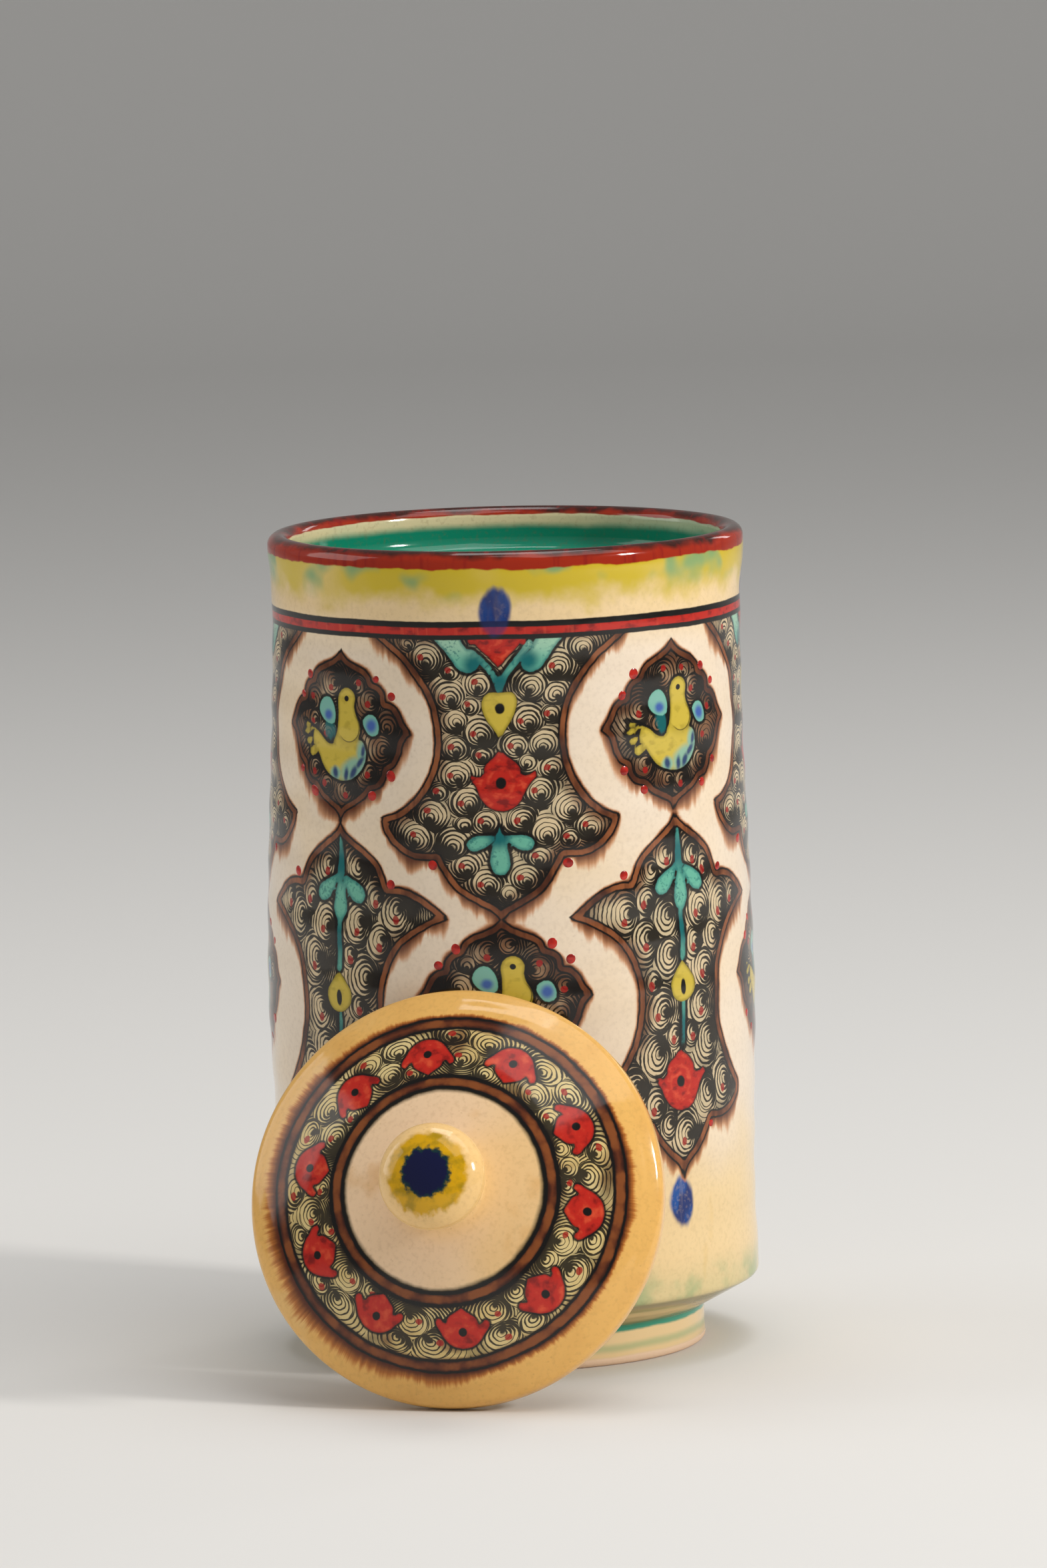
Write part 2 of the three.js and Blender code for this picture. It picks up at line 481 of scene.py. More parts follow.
def gridOver(across, upwards, gap):
    # evenly spaced places in a rectangle
    return np.stack(np.meshgrid(np.arange(*across, gap), np.arange(*upwards, gap)), -1).reshape(-1, 2)


# Jar: its outline

jarForm = {
    # height and radius of the wall, from the undercut to the lip
    "wall": [(21.3, 59.55), (40, 59.25), (62, 59.75), (90, 60.45), (122, 59.7), (150, 58.6), (172, 58.05),
             (188, 58.1), (199, 58.95)],
    "base": (59.6, 17.3), "baseRound": 2.0,
    "foot": (45.6, 9.6), "footRing": 7.0, "footRound": 1.6, "recess": 5.5, "toolRound": 1.2,
    "rim": 59.0, "height": 204.0, "lip": 5.5, "lipRound": 2.65,
    "ledge": 193.0, "ledgeWidth": 8.0, "ledgeThick": 5.0, "ledgeRound": 3.5, "ledgeEdge": 1.2,
    "wallThick": 6.0, "floor": 13.5, "floorRound": 9.0,
    "innerWall": (24, 181),     # the inside follows the wall's points between these heights
    # rings of the mesh up the wall: from, to and gap, closest where the ornament is
    "wallRings": [(21.3, 43, 2.4), (43, 189, 1.02), (189, 198.5, 1.6)],
    "plainGap": 4.5, "roundSteps": 6, "footSteps": 4,
}
jarThrowing = {"Around": 336, "Ring Depth": 0.11 * mm, "Ring Pitch": 13.0 * mm, "Wobble": 0.42 * mm,
               "Wobble Size": 55.0 * mm, "Lean": -0.9 * mm, "Height": 204.0 * mm, "Seed": 3.0}


def jarLine(f):
    wall = [(r, z) for z, r in f["wall"]]
    footR, footTop = f["foot"]
    recessR = footR - f["footRing"]
    mouth = f["rim"] - f["lip"]
    ledgeR = mouth - f["ledgeWidth"]
    ledgeFoot = f["ledge"] - f["ledgeThick"]
    below = [(0, f["recess"], 0), (recessR, f["recess"], f["toolRound"]), (recessR, 0, f["toolRound"]),
             (footR, 0, f["footRound"]), (footR, footTop, f["toolRound"]), (*f["base"], f["baseRound"]),
             (*wall[0], 0)]
    above = [(*wall[-1], 0), (f["rim"], f["height"], f["lipRound"]), (mouth, f["height"], f["lipRound"]),
             (mouth, f["ledge"], f["ledgeRound"]), (ledgeR, f["ledge"], f["ledgeEdge"]),
             (ledgeR, ledgeFoot, f["ledgeEdge"])]
    low, high = f["innerWall"]
    inner = [(r - f["wallThick"], z) for r, z in wall if low < z < high][::-1]
    inside = [(r, z, 0) for r, z in inner]
    corner = (inner[-1][0], f["floor"], f["floorRound"])
    lower = spaced(filletedLine(below, f["footSteps"]), f["plainGap"])
    smooth = softLine(wall, 24)
    heights = np.concatenate([np.arange(*stretch) for stretch in f["wallRings"]] + [smooth[-1:, 1]])
    middle = np.stack([np.interp(heights, smooth[:, 1], smooth[:, 0]), heights], 1)
    above += inside + [corner, (0, f["floor"], 0)]
    upper = spaced(filletedLine(above, f["roundSteps"]), f["plainGap"])
    print("rings of the jar:", len(lower), len(middle), len(upper))
    return np.vstack([lower, middle[1:], upper[1:]])


# Jar: the painted ornament, in mm. x runs along the wall from a column's own middle, z is the height.

sheetRadius = 60.0
# from the front, in mm of arc at the sheet's radius
columnPlaces = [-2.0, 45.7, 92.5, 139.4, 186.2, -142.6, -95.4, -46.2]
sheetTurn = 2 * math.pi * sheetRadius

hangingPanel = bothSides(
    [(0, 186), (36, 185.5)],
    [(36, 185.5), (31.6, 181.4), (24.7, 176), (18.6, 167.8), (16.6, 158.8), (18.0, 150.6), (21.7, 144.3),
     (26.4, 140.3), (31.2, 138.6)],
    [(31.2, 138.6), (29.4, 134.4), (26.0, 130.9), (21.6, 128.9), (16, 129.0)],
    [(16, 129.0), (14.2, 125.8), (10.6, 121.2), (5, 117.8), (1.7, 115.9), (0, 113.6)])
standingPanel = bothSides(
    [(0, 137.6), (1.9, 134.9), (7.5, 131.3), (12.2, 127.4), (14.9, 121.9)],
    [(14.9, 121.9), (18.8, 121.8), (23.6, 120.1), (31.6, 114.4)],
    [(31.6, 114.4), (25.2, 111.6), (19.2, 107.4), (15.4, 101.5), (13.7, 94), (14.4, 84.5), (18.2, 76.6),
     (24.6, 68.3)],
    [(24.6, 68.3), (23.6, 64.6), (19.3, 61.5), (14.9, 60.5), (10.7, 60.6)],
    [(10.7, 60.6), (8.9, 57.4), (5.0, 52.8), (1.6, 49.9), (0, 46.0)])
medallion = bothSides(
    [(0, 20.6), (1.7, 18.5), (4.4, 17.1), (7.7, 15.8), (9.9, 14.1), (10.5, 12.4)],
    [(10.5, 12.4), (12.7, 11.6), (14.4, 9.6), (14.6, 7.6)],
    [(14.6, 7.6), (16.8, 7.0), (18.7, 5.0), (20.0, 2.4), (22.0, 0)],
    [(22.0, 0), (19.6, -2.2), (18.5, -5.4), (17.0, -8.1), (14.8, -9.5)],
    [(14.8, -9.5), (14.2, -11.7), (12.3, -13.8), (9.7, -14.5)],
    [(9.7, -14.5), (7.6, -16.5), (4.4, -18.2), (1.5, -19.7), (0, -22)])
columnLayouts = {
    "hanging": {"panel": hangingPanel, "medallionHeight": 94.9},
    "standing": {"panel": standingPanel, "medallionHeight": 159.5},
}

tulipShape = softShape(
    [(-0.3, 8.1), (-1.6, 6.6), (-3.5, 5.1), (-4.4, 3.5), (-4.3, 1.9)],
    [(-4.3, 1.9), (-6.0, 1.5), (-8.1, 2.7)],
    [(-8.1, 2.7), (-7.3, 0.6), (-6.3, -0.9), (-5.2, -3.3), (-3.2, -5.7), (0.2, -6.8), (3.6, -5.9),
     (5.4, -3.4), (6.6, -1.0), (7.9, 0.5), (9.2, 1.8)],
    [(9.2, 1.8), (8.3, 2.7), (6.5, 1.8), (4.8, 2.0)],
    [(4.8, 2.0), (4.5, 3.7), (3.1, 5.4), (1.0, 7.0), (-0.3, 8.1)])
dropShape = softShape(
    [(0.3, -7.8), (-1.3, -5.3), (-3.3, -2.7), (-4.4, 0.6), (-3.9, 2.7), (-2.4, 3.9), (0.3, 3.8), (3.1, 3.9),
     (4.4, 2.6), (4.5, 0.5), (3.3, -2.8), (1.5, -5.4), (0.3, -7.8)])
uprightDropShape = softShape(
    [(0, 5.2), (-1.9, 3.1), (-3.9, 0.2), (-3.6, -2.9), (-1.6, -4.8), (1.3, -4.8), (3.7, -2.7), (3.9, 0.3),
     (1.9, 3.2), (0, 5.2)])
bandPetal = softShape(
    [(-7.9, 183.4), (-7.6, 181.6), (-6.3, 181.9), (-5.2, 180.7), (-2.8, 178.6), (-0.3, 175.9)],
    [(-0.3, 175.9), (2.2, 178.8), (4.3, 180.6), (5.4, 181.9), (6.7, 181.3), (6.9, 183.4)],
    [(6.9, 183.4), (0, 184.5), (-7.9, 183.4)])
leafShape = softShape(
    [(-17.0, 183.2), (-14.2, 180.3), (-11.8, 177.2), (-9.9, 175.2), (-7.4, 174.7), (-5.6, 176.0),
     (-5.7, 178.0), (-7.6, 179.9), (-9.2, 181.9), (-9.6, 183.4)],
    [(-9.6, 183.4), (-13, 184.6), (-17.0, 183.2)])
birdShape = softShape(
    [(-14.8, 1.9), (-10.9, 0.5), (-8.1, -0.7), (-5.0, -2.9), (-2.6, -3.0), (-1.2, -0.6)],
    [(-1.2, -0.6), (2.6, -1.8), (6.9, -2.0), (8.2, -4.6), (7.9, -7.4), (6.2, -9.9), (3.7, -11.5),
     (0.6, -12.0), (-2.2, -11.4), (-5.1, -10.1), (-7.2, -7.9), (-8.9, -5.6), (-10.3, -4.1)],
    [(-10.3, -4.1), (-10.9, -2.4), (-10.7, -0.7), (-13.0, 0.2), (-14.8, 1.9)])
neckShape = softLoop(
    [(-0.7, 8.0), (0.2, 10.0), (2.3, 10.9), (4.3, 10.1), (5.2, 8.4), (4.9, 6.4), (5.4, 4.4), (6.5, 2.4),
     (6.8, 0.4), (5.9, -1.5), (4.0, -2.9), (0.6, -3.4), (-2.4, -2.6), (-1.2, -0.2), (-0.6, 2.4), (-0.5, 5.2)])
leftAccent = softLoop(
    [(-4.3, 8.4), (-2.4, 6.9), (-1.5, 4.2), (-2.1, 1.9), (-4.3, 1.9), (-6.4, 2.9), (-7.8, 5.0), (-6.8, 7.5)])
rightAccent = softLoop(
    [(9.5, 4.4), (11.5, 3.9), (12.5, 1.9), (12.3, -0.4), (10.1, -0.9), (8.6, 0.3), (7.6, 2.8)])
trefoilPetal = softShape(
    [(0, 12.4), (-1.1, 9.4), (-2.2, 6.2), (-2.7, 2.9), (-1.6, 0.5), (0, 0), (1.6, 0.5), (2.7, 2.9),
     (2.2, 6.2), (1.1, 9.4), (0, 12.4)])


def turned(shape, angle, move=(0, 0), grow=1.0):
    c, s = math.cos(angle), math.sin(angle)
    shape = np.asarray(shape, float) * grow
    return np.stack([shape[:, 0] * c - shape[:, 1] * s, shape[:, 0] * s + shape[:, 1] * c], 1) + move


# What is painted in each layout: colour, kind, and its own values
paintedShapes = {
    "hanging": [
        ("red", "shape", bandPetal), ("teal", "shape", leafShape),
        ("teal", "shape", leafShape[::-1] * (-1, 1)),
        ("teal", "stroke",
         ([(-6.9, 179.6), (-4.9, 177.9), (-3.0, 176.0), (-1.3, 173.7), (-0.1, 170.4)], (0.9, 0.8))),
        ("teal", "stroke",
         ([(7.8, 181.9), (5.4, 179.0), (3.0, 176.2), (1.1, 173.7), (-0.1, 170.4)], (0.9, 0.8))),
        ("yellow", "shape", dropShape + (-0.2, 166.1)), ("red", "shape", tulipShape + (0.2, 147.8)),
        ("teal", "shape", trefoilPetal * (0.92, 0.98) + (0.2, 125.4)),
        ("teal", "shape", turned(trefoilPetal, -1.28, (-7.8, 132.5), 0.68)),
        ("teal", "shape", turned(trefoilPetal, 1.28, (8.6, 132.5), 0.7)),
    ],
    "standing": [
        ("teal", "stroke", ([(0.3, 134.2), (0.3, 130), (0.3, 124.6)], (0.5, 1.2))),
        ("teal", "shape", trefoilPetal * (0.82, 0.98) + (0.4, 113.4)),
        ("teal", "shape", turned(trefoilPetal, -0.82, (-7.2, 118.2), 0.82)),
        ("teal", "shape", turned(trefoilPetal, 0.82, (7.8, 118.2), 0.82)),
        ("teal", "stroke", ([(0.3, 114.5), (0.6, 106.5), (0.2, 101.4)], (0.75, 0.85))),
        ("teal", "stroke", ([(0, 90.6), (0.3, 86), (0, 79.6)], (0.65, 0.55))),
        ("yellow", "shape", uprightDropShape + (0, 95.6)),
        ("red", "shape", tulipShape * (1, 1.04) + (-0.7, 70.8)),
    ],
    "medallion": [
        ("yellow", "shape", birdShape), ("yellow", "shape", neckShape),
        ("yellow", "oval", ((-11.0, -5.8), (1.4, 1.3))), ("yellow", "oval", ((-12.6, -3.4), (1.3, 1.0), 0.3)),
        ("yellow", "oval", ((-13.2, -1.0), (1.5, 0.8), 0.3)),
        ("blue", "shape", leftAccent), ("blue", "shape", rightAccent),
    ],
}
# where teal paint pooled dark, and how far that reaches
darkPools = {"hanging": [(0, 134.6), (-6.6, 176.6), (7.2, 177.6), (0, 172)],
             "standing": [(0.3, 127.5), (0.4, 109), (0.2, 84)]}
poolReach = {"hanging": 4.2, "standing": 6.2}
# black eyes: centre, then half width and half height
paintedEyes = {
    "hanging": [((0.1, 166.0), (1.25, 1.35)), ((0.1, 147.9), (1.3, 1.45))],
    "standing": [((0.0, 94.2), (0.85, 2.0)), ((-0.7, 70.9), (1.3, 1.5))],
    "medallion": [((2.3, 8.2), (0.75, 0.7))],
}
raisedDots = {
    "hanging": [(-16.9, 127.6), (16.6, 127.3)],
    "standing": [(-16.2, 123.1), (16.3, 122.9), (-11.2, 58.9), (10.6, 59.0)],
    "medallion": [(-11.8, 12.6), (11.7, 13.2), (-15.6, 8.4), (16.2, 8.8), (-15.6, -10.8), (15.6, -10.4),
                  (-10.2, -15.5), (10.4, -15.2)],
}


# how the columns are laid out, and the grid on which their loops are packed, in mm
columnRules = {"seed": 70, "half": 37, "drift": 0.28, "wallFrom": 19, "wallRadius": 57.2,
               "loopArea": ((-34, 40), (34, 186)), "loopGap": 0.6, "panelMargin": 2.0, "medallionMargin": 1.7,
               "leastRoom": 1.2, "overShapes": 0.2}


def depthOf(places, kind, form):
    if kind == "shape":
        return depthInside(places, form)
    if kind == "stroke":
        return depthInStroke(places, *form)
    return depthInOval(places, *form)


# Swirls: loops of black line packed into the free ground

dottedTag = 10.0  # added to the size of each loop that gets a red dot
swirlLayout = {"sizes": [(3.9, 0.25), (3.45, 0.2), (2.9, 0.2), (2.3, 0.15)], "overlap": 0.94, "lean": 0.3,
               "dotted": 0.72}
lidSwirls = {**swirlLayout, "sizes": [(4.0, 0.2), (3.5, 0.2), (3.0, 0.2), (2.4, 0.2)]}
# how much taller than wide the loops are, which way their lines crowd, and how far that varies
swirlHabits = {"hanging": (0.9, -1.55, 0.6), "standing": (1.28, 0.1, 0.6), "medallion": (1.0, -1.2, 1.8),
               "lid": (0.78, -1.4, 0.9)}


def packSwirls(places, free, habit, dice, layout=swirlLayout, wrap=None):
    # fills the free ground with touching loops, large ones first
    tall, towards, vary = habit
    room = free / (tall if tall < 1 else tall ** 0.5)
    squeeze = np.array((1.0, 1 / tall))
    loops = []
    for target, spread in layout["sizes"]:
        while True:
            want = target + dice.uniform(-spread, spread)
            fits = room >= want
            if not fits.any():
                break
            score = np.where(fits, room + dice.uniform(0, 0.5, len(room)), np.inf)
            here = int(np.argmin(score))
            loops.append((*places[here], want))
            gap = places - places[here]
            if wrap:
                gap[:, 0] = shortWay(gap[:, 0], wrap)
            room = np.minimum(room, np.hypot(*(gap * squeeze).T) - want * layout["overlap"])
    count = len(loops)
    crowding = towards + math.pi + dice.uniform(-vary, vary, count)
    dots = dice.random(count) < layout["dotted"]
    return np.array(loops), crowding, dots, squeeze


def swirlCorners(corners, packed, layout=swirlLayout, wrap=None):
    # each face's three nearest loops, as places seen from where the loop's lines start and turned so that
    # they crowd towards -x
    loops, crowding, dots, squeeze = packed
    centres = corners.mean(1)
    gap = centres[:, None, :] - loops[None, :, :2]
    if wrap:
        gap[..., 0] = shortWay(gap[..., 0], wrap)
    nearest = np.argsort(np.hypot(*np.moveaxis(gap * squeeze, -1, 0)) / loops[:, 2], axis=1)[:, :3]
    out = []
    for rank in range(3):
        pick = nearest[:, rank]
        d = corners - loops[pick][:, None, :2]
        if wrap:
            middle = centres - loops[pick][:, :2]
            d[..., 0] -= (np.round(middle[:, 0] / wrap) * wrap)[:, None]
        d = d * squeeze
        c, s = np.cos(crowding[pick])[:, None], np.sin(crowding[pick])[:, None]
        x, y = d[..., 0] * c + d[..., 1] * s, d[..., 1] * c - d[..., 0] * s
        x = x + layout["lean"] * loops[pick, 2][:, None]
        third = np.broadcast_to((loops[pick, 2] + dottedTag * dots[pick])[:, None], x.shape)
        out.append(np.stack([x, y, third], -1))
    return out


def faceCorners(mesh):
    # the four corners of each face as vertex numbers; a triangle's last corner is repeated
    starts = np.zeros(len(mesh.polygons), int)
    totals = np.zeros(len(mesh.polygons), int)
    corners = np.zeros(len(mesh.loops), int)
    mesh.polygons.foreach_get("loop_start", starts)
    mesh.polygons.foreach_get("loop_total", totals)
    mesh.loops.foreach_get("vertex_index", corners)
    slots = starts[:, None] + np.minimum(np.arange(4)[None, :], totals[:, None] - 1)
    return slots, corners[slots]


def handDrift(places, dice, amount):
    # a painter's hand: the layout bends a little, differently in each column
    phase = dice.uniform(0, 2 * math.pi, 4)
    x, z = places[:, 0], places[:, 1]
    aside = np.sin(z / 11 + phase[0]) + 0.5 * np.sin(z / 4.7 + phase[1])
    upwards = np.sin(x / 9 + phase[2]) + 0.4 * np.sin(x / 4.1 + phase[3])
    return np.stack([x + amount * aside, z + amount * upwards], 1)


glazeRun = {"furthest": 30.0, "half": 3.0, "steepPanels": 1.5, "steepMedallions": 0.4, "smoothings": 2}


def glazeFall(mesh, height, outside, edge, inMedal):
    # near 1 just under an edge where brown glaze ran down, 0.5 at a "half" below it, less beside steep edges
    g = glazeRun
    around = jarThrowing["Around"]
    ring = readPoints(mesh, "ring").round().astype(int)
    step = np.round((readPoints(mesh, "turn") + 0.5) * around).astype(int) % around
    rings = sorted(set(ring[outside]), key=lambda r: -height[ring == r][0])
    members = [np.flatnonzero(ring == r) for r in rings]
    fall = np.zeros((len(rings), around))
    below = np.full(around, g["furthest"])
    lastHeight, lastDepth = height[members[0][0]], np.full(around, -farAway)
    for row, here in enumerate(members):
        drop = lastHeight - height[here[0]]
        depth, medal = np.full(around, -farAway), np.zeros(around)
        depth[step[here]], medal[step[here]] = edge[here], inMedal[here]
        crossed = (lastDepth > 0) & (depth <= 0)
        share = np.where(crossed, -depth / np.maximum(lastDepth - depth, 1e-6), 0)
        below = np.where(crossed, share * drop, np.minimum(below + drop, g["furthest"]))
        below = np.where(depth > 0, 0.0, below)
        power = np.where(medal > 0.5, g["steepMedallions"], g["steepPanels"])
        steep = np.maximum(below / np.maximum(-depth, 0.05), 1) ** power
        fall[row] = 1 / (1 + below * steep / g["half"])
        lastHeight, lastDepth = height[here[0]], depth
    for _ in range(g["smoothings"]):
        fall = (2 * fall + np.roll(fall, 1, 1) + np.roll(fall, -1, 1)) / 4
        fall[1:-1] = (2 * fall[1:-1] + fall[2:] + fall[:-2]) / 4
    out = np.zeros(len(height))
    for row, here in enumerate(members):
        out[here] = fall[row, step[here]]
    return out


def paintColumns(height, arc, outside, corners):
    # the eight columns of ornament: depths for every point, marks for every face's corners, and the dots
    points = len(arc)
    fields = {name: np.full(points, -farAway) for name in ("edge", "red", "teal", "yellow", "blue")}
    fields.update(inMedal=np.zeros(points), pool=np.zeros(points))
    slots, faces, marks = corners
    owner = np.full(points, -1)
    local = np.zeros((points, 2))
    dotPlaces = []
    for number, middle in enumerate(columnPlaces):
        dice = np.random.default_rng(columnRules["seed"] + number)
        layoutName = "hanging" if number % 2 == 0 else "standing"
        layout = columnLayouts[layoutName]
        x = shortWay(arc - middle, sheetTurn)
        here = np.flatnonzero(outside & (np.abs(x) < columnRules["half"]))
        drifted = handDrift(np.stack([x[here], height[here]], 1), dice, columnRules["drift"])
        medalPlaces = drifted - (0, layout["medallionHeight"])
        panelDepth = depthInside(drifted, layout["panel"])
        medalDepth = depthInside(medalPlaces, medallion)
        depth = np.maximum(panelDepth, medalDepth)
        mine = depth > fields["edge"][here]
        owner[here[mine]] = number
        local[here[mine]] = drifted[mine]
        fields["inMedal"][here[mine]] = (medalDepth > panelDepth)[mine]
        fields["edge"][here] = np.maximum(fields["edge"][here], depth)
        for group, places in ((layoutName, drifted), ("medallion", medalPlaces)):
            for colour, kind, form in paintedShapes[group]:
                fields[colour][here] = np.maximum(fields[colour][here], depthOf(places, kind, form))
        for poolX, poolZ in darkPools[layoutName]:
            away = np.hypot(drifted[:, 0] - poolX, drifted[:, 1] - poolZ) / poolReach[layoutName]
            fields["pool"][here] = np.maximum(fields["pool"][here], 1 - away)
        # loops in the ground of the panel and of the medallion
        grid = gridOver(*columnRules["loopArea"], columnRules["loopGap"])
        mine = np.flatnonzero((owner[faces] == number).all(1) & (fields["edge"][faces].max(1) > 1.0))
        seen = local[faces[mine]]
        for group, shape, shift, margin in ((layoutName, layout["panel"], 0, columnRules["panelMargin"]),
                                            ("medallion", medallion, layout["medallionHeight"],
                                             columnRules["medallionMargin"])):
            spots = grid - (0, shift)
            free = depthInside(spots, shape) - margin
            keep = free > columnRules["leastRoom"]
            spots, free = spots[keep], free[keep]
            for _, kind, form in paintedShapes[group]:
                free = np.minimum(free, columnRules["overShapes"] - depthOf(spots, kind, form))
            packed = packSwirls(spots, free, swirlHabits[group], dice)
            packed[0][:, 1] += shift
            isHere = depthInside(seen.mean(1) - (0, shift), shape) > 0
            shown, places = seen[isHere], slots[mine[isHere]]
            for rank, values in enumerate(swirlCorners(shown, packed)):
                marks[f"swirl{rank + 1}"][places] = values
            choices = np.array([(*centre, *half) for centre, half in paintedEyes[group]], float)
            choices[:, 1] += shift
            gap = shown.mean(1)[:, None] - choices[:, :2]
            nearest = np.argmin(np.hypot(gap[..., 0], gap[..., 1]), axis=1)
            marks["eye"][places, :2] = (shown - choices[nearest][:, None, :2]) / choices[nearest][:, None, 2:]
            if group == "medallion":
                marks["bird"][places, :2] = shown - (0, shift)
            dotPlaces += [(middle + dotX, dotZ + shift) for dotX, dotZ in raisedDots[group]]
    return fields, dotPlaces


def paintJar(piece):
    mesh = piece.data
    height = readPoints(mesh, "outlineHeight") / mm
    radius = readPoints(mesh, "outlineRadius") / mm
    arc = readPoints(mesh, "turn") * sheetTurn
    outside = (height > columnRules["wallFrom"]) & (radius > columnRules["wallRadius"])
    slots, faces = faceCorners(mesh)
    marks = {name: emptyCorners(mesh) for name in ("eye", "bird", "swirl1", "swirl2", "swirl3", "sheet")}
    fields, dotPlaces = paintColumns(height, arc, outside, (slots, faces, marks))
    fields["fall"] = glazeFall(mesh, height, outside, fields["edge"], fields["inMedal"])
    # arc, height and radius of each face's corners
    marks["sheet"][slots] = np.stack([closedUp(arc[faces], sheetTurn), height[faces], radius[faces]], -1)
    for name, values in fields.items():
        writePoints(mesh, name, values)
    for name, values in marks.items():
        writeCorners(mesh, name, values)
    return dotPlaces


# Finishes

def written(red, green, blue):
    # a colour as it is seen on screen, 0 to 255, as the numbers that a shader takes
    def one(v):
        v = v / 255
        return v / 12.92 if v <= 0.04045 else ((v + 0.055) / 1.055) ** 2.4
    return one(red), one(green), one(blue), 1.0


class Paint(Wiring):
    # adds colours, attributes and layers; a word given as a colour is looked up in the piece's colours
    def __init__(self, name, colours):
        self.material = bpy.data.materials.new(name)
        self.material.use_nodes = True
        super().__init__(self.material.node_tree)
        self.shader = self.tree.nodes["Principled BSDF"]
        self.colours = {word: written(*colour) for word, colour in colours.items()}

    def feed(self, socket, value):
        super().feed(socket, self.colours[value] if isinstance(value, str) else value)

    def attribute(self, name, output="Fac"):
        return self.node("ShaderNodeAttribute", {}, output, attribute_name=name)

    def place(self):
        return self.node("ShaderNodeTexCoord", {}, "Object")

    def mix(self, amount, under, over):
        return self.node("ShaderNodeMix", {0: amount, 6: under, 7: over}, 2, data_type="RGBA")

    def coats(self, colour, *layers):
        # each layer is an amount and the colour that it lays over what is there
        for amount, over in layers:
            colour = self.mix(amount, colour, over)
        return colour

    def mixVector(self, amount, under, over):
        return self.node("ShaderNodeMix", {0: amount, 4: under, 5: over}, 1, data_type="VECTOR")

    def cells(self, place, scale):
        return self.node("ShaderNodeTexVoronoi", {"Vector": place, "Scale": scale}, "Distance")

    def far(self, x, y):
        return self.vector("LENGTH", self.pack(x, y, 0))

    def below(self, value, edge, soft):
        # 1 where value is under edge, with a soft border
        return self.ramp(value, edge - soft, edge + soft, 1.0, 0.0)

    def above(self, value, edge, soft):
        return self.ramp(value, edge - soft, edge + soft)

    def between(self, value, low, high, soft):
        return self.above(value, low, soft) * self.below(value, high, soft)

    def oval(self, x, z, centre, half, turn=0.0):
        # distance from an oval's centre, where 1 is its edge
        c, s = math.cos(turn), math.sin(turn)
        dx, dz = x - centre[0], z - centre[1]
        u = (dx * c + dz * s) * (1 / half[0])
        v = (dz * c - dx * s) * (1 / half[1])
        return self.math("SQRT", u * u + v * v)

    def glaze(self, colour, roughness, relief, strength):
        # hands the paint to the shader, with a fine relief of the given strength
        bump = self.node("ShaderNodeBump", {"Strength": strength, "Distance": 0.0004, "Height": relief})
        values = {"Base Color": colour, "Roughness": roughness, "IOR": 1.44, "Normal": bump}
        for name, value in values.items():
            self.feed(self.shader.inputs[name], value)
        return self.material


swirlBrush = {
    "spacing": 0.92, "lean": swirlLayout["lean"], "halfLine": 0.205, "soft": 0.08,
    "blobPlace": -0.3, "blobLong": 0.5, "blobWide": 0.33,
    "dotAlong": 0.42, "dotAcross": 0.36, "dotRadius": 0.95, "shake": 0.7,
}


def swirlInk(p, place, b):
    # the nearest of three loops, then rings whose middles drift away from the crowded side
    shake = p.waver(b["shake"], place, 420.0)
    lean, soft = b["lean"], b["soft"]
    picks = []
    for number in (1, 2, 3):
        vector = p.attribute(f"swirl{number}", "Vector")
        x, y, tag = p.split(vector)
        loop = p.math("MODULO", tag, dottedTag)
        picks.append((vector, p.far(x - loop * lean, y) / loop))
    nearest, reach = picks[0]
    for vector, other in picks[1:]:
        nearest = p.mixVector(p.math("LESS_THAN", other, reach), nearest, vector)
        reach = p.least(reach, other)
    x, y, tag = p.split(nearest)
    loop = p.math("MODULO", tag, dottedTag)
    x, y = x + shake, y - shake
    square = x * x + y * y
    root = p.math("SQRT", x * x * lean ** 2 + square * (1 - lean ** 2))
    ring = p.most((root - x * lean) * (1 / (1 - lean ** 2)), 0.01)
    spread = 1.0 + (x - ring * lean) / ring * lean
    turn = p.math("ARCTAN2", y, x) * (1 / (2 * math.pi))
    tremble = p.noise(place, 260.0) * 0.7
    phase = ring / b["spacing"] + turn + tremble
    gap = p.size(p.math("FRACT", phase) - 0.5) * (spread * b["spacing"])
    weight = p.ramp(p.noise(place, 210.0), 0.3, 0.7, 0.55, 1.5)
    line = weight * b["halfLine"] * p.ramp(spread, 1 + lean, 1 - lean, 0.85, 1.6)
    ink = p.ramp(gap, line - soft, line + soft, 1.0, 0.0)
    fromEdge = p.size(reach - 1.0) * loop
    ink = p.most(ink, p.ramp(fromEdge, line - soft, line + soft, 1.0, 0.0))
    rough = p.waver(0.9, place, 620.0)
    blob = p.far((x / loop - b["blobPlace"]) / b["blobLong"], y / loop / b["blobWide"]) + rough
    ink = p.most(ink, p.ramp(blob, 0.75, 1.15, 1.0, 0.0))
    dotted = p.math("GREATER_THAN", tag, dottedTag)
    dotMiddle = p.far(x - loop * b["dotAlong"], y - loop * b["dotAcross"])
    dot = dotted * p.ramp(dotMiddle + rough * 0.3, b["dotRadius"], b["dotRadius"] - 0.2)
    edge = p.ramp(reach, 1.0, 1.2) * p.ramp(p.noise(place, 150.0, 1.0), 0.42, 0.66, 0.0, 0.5)
    return ink, dot, edge


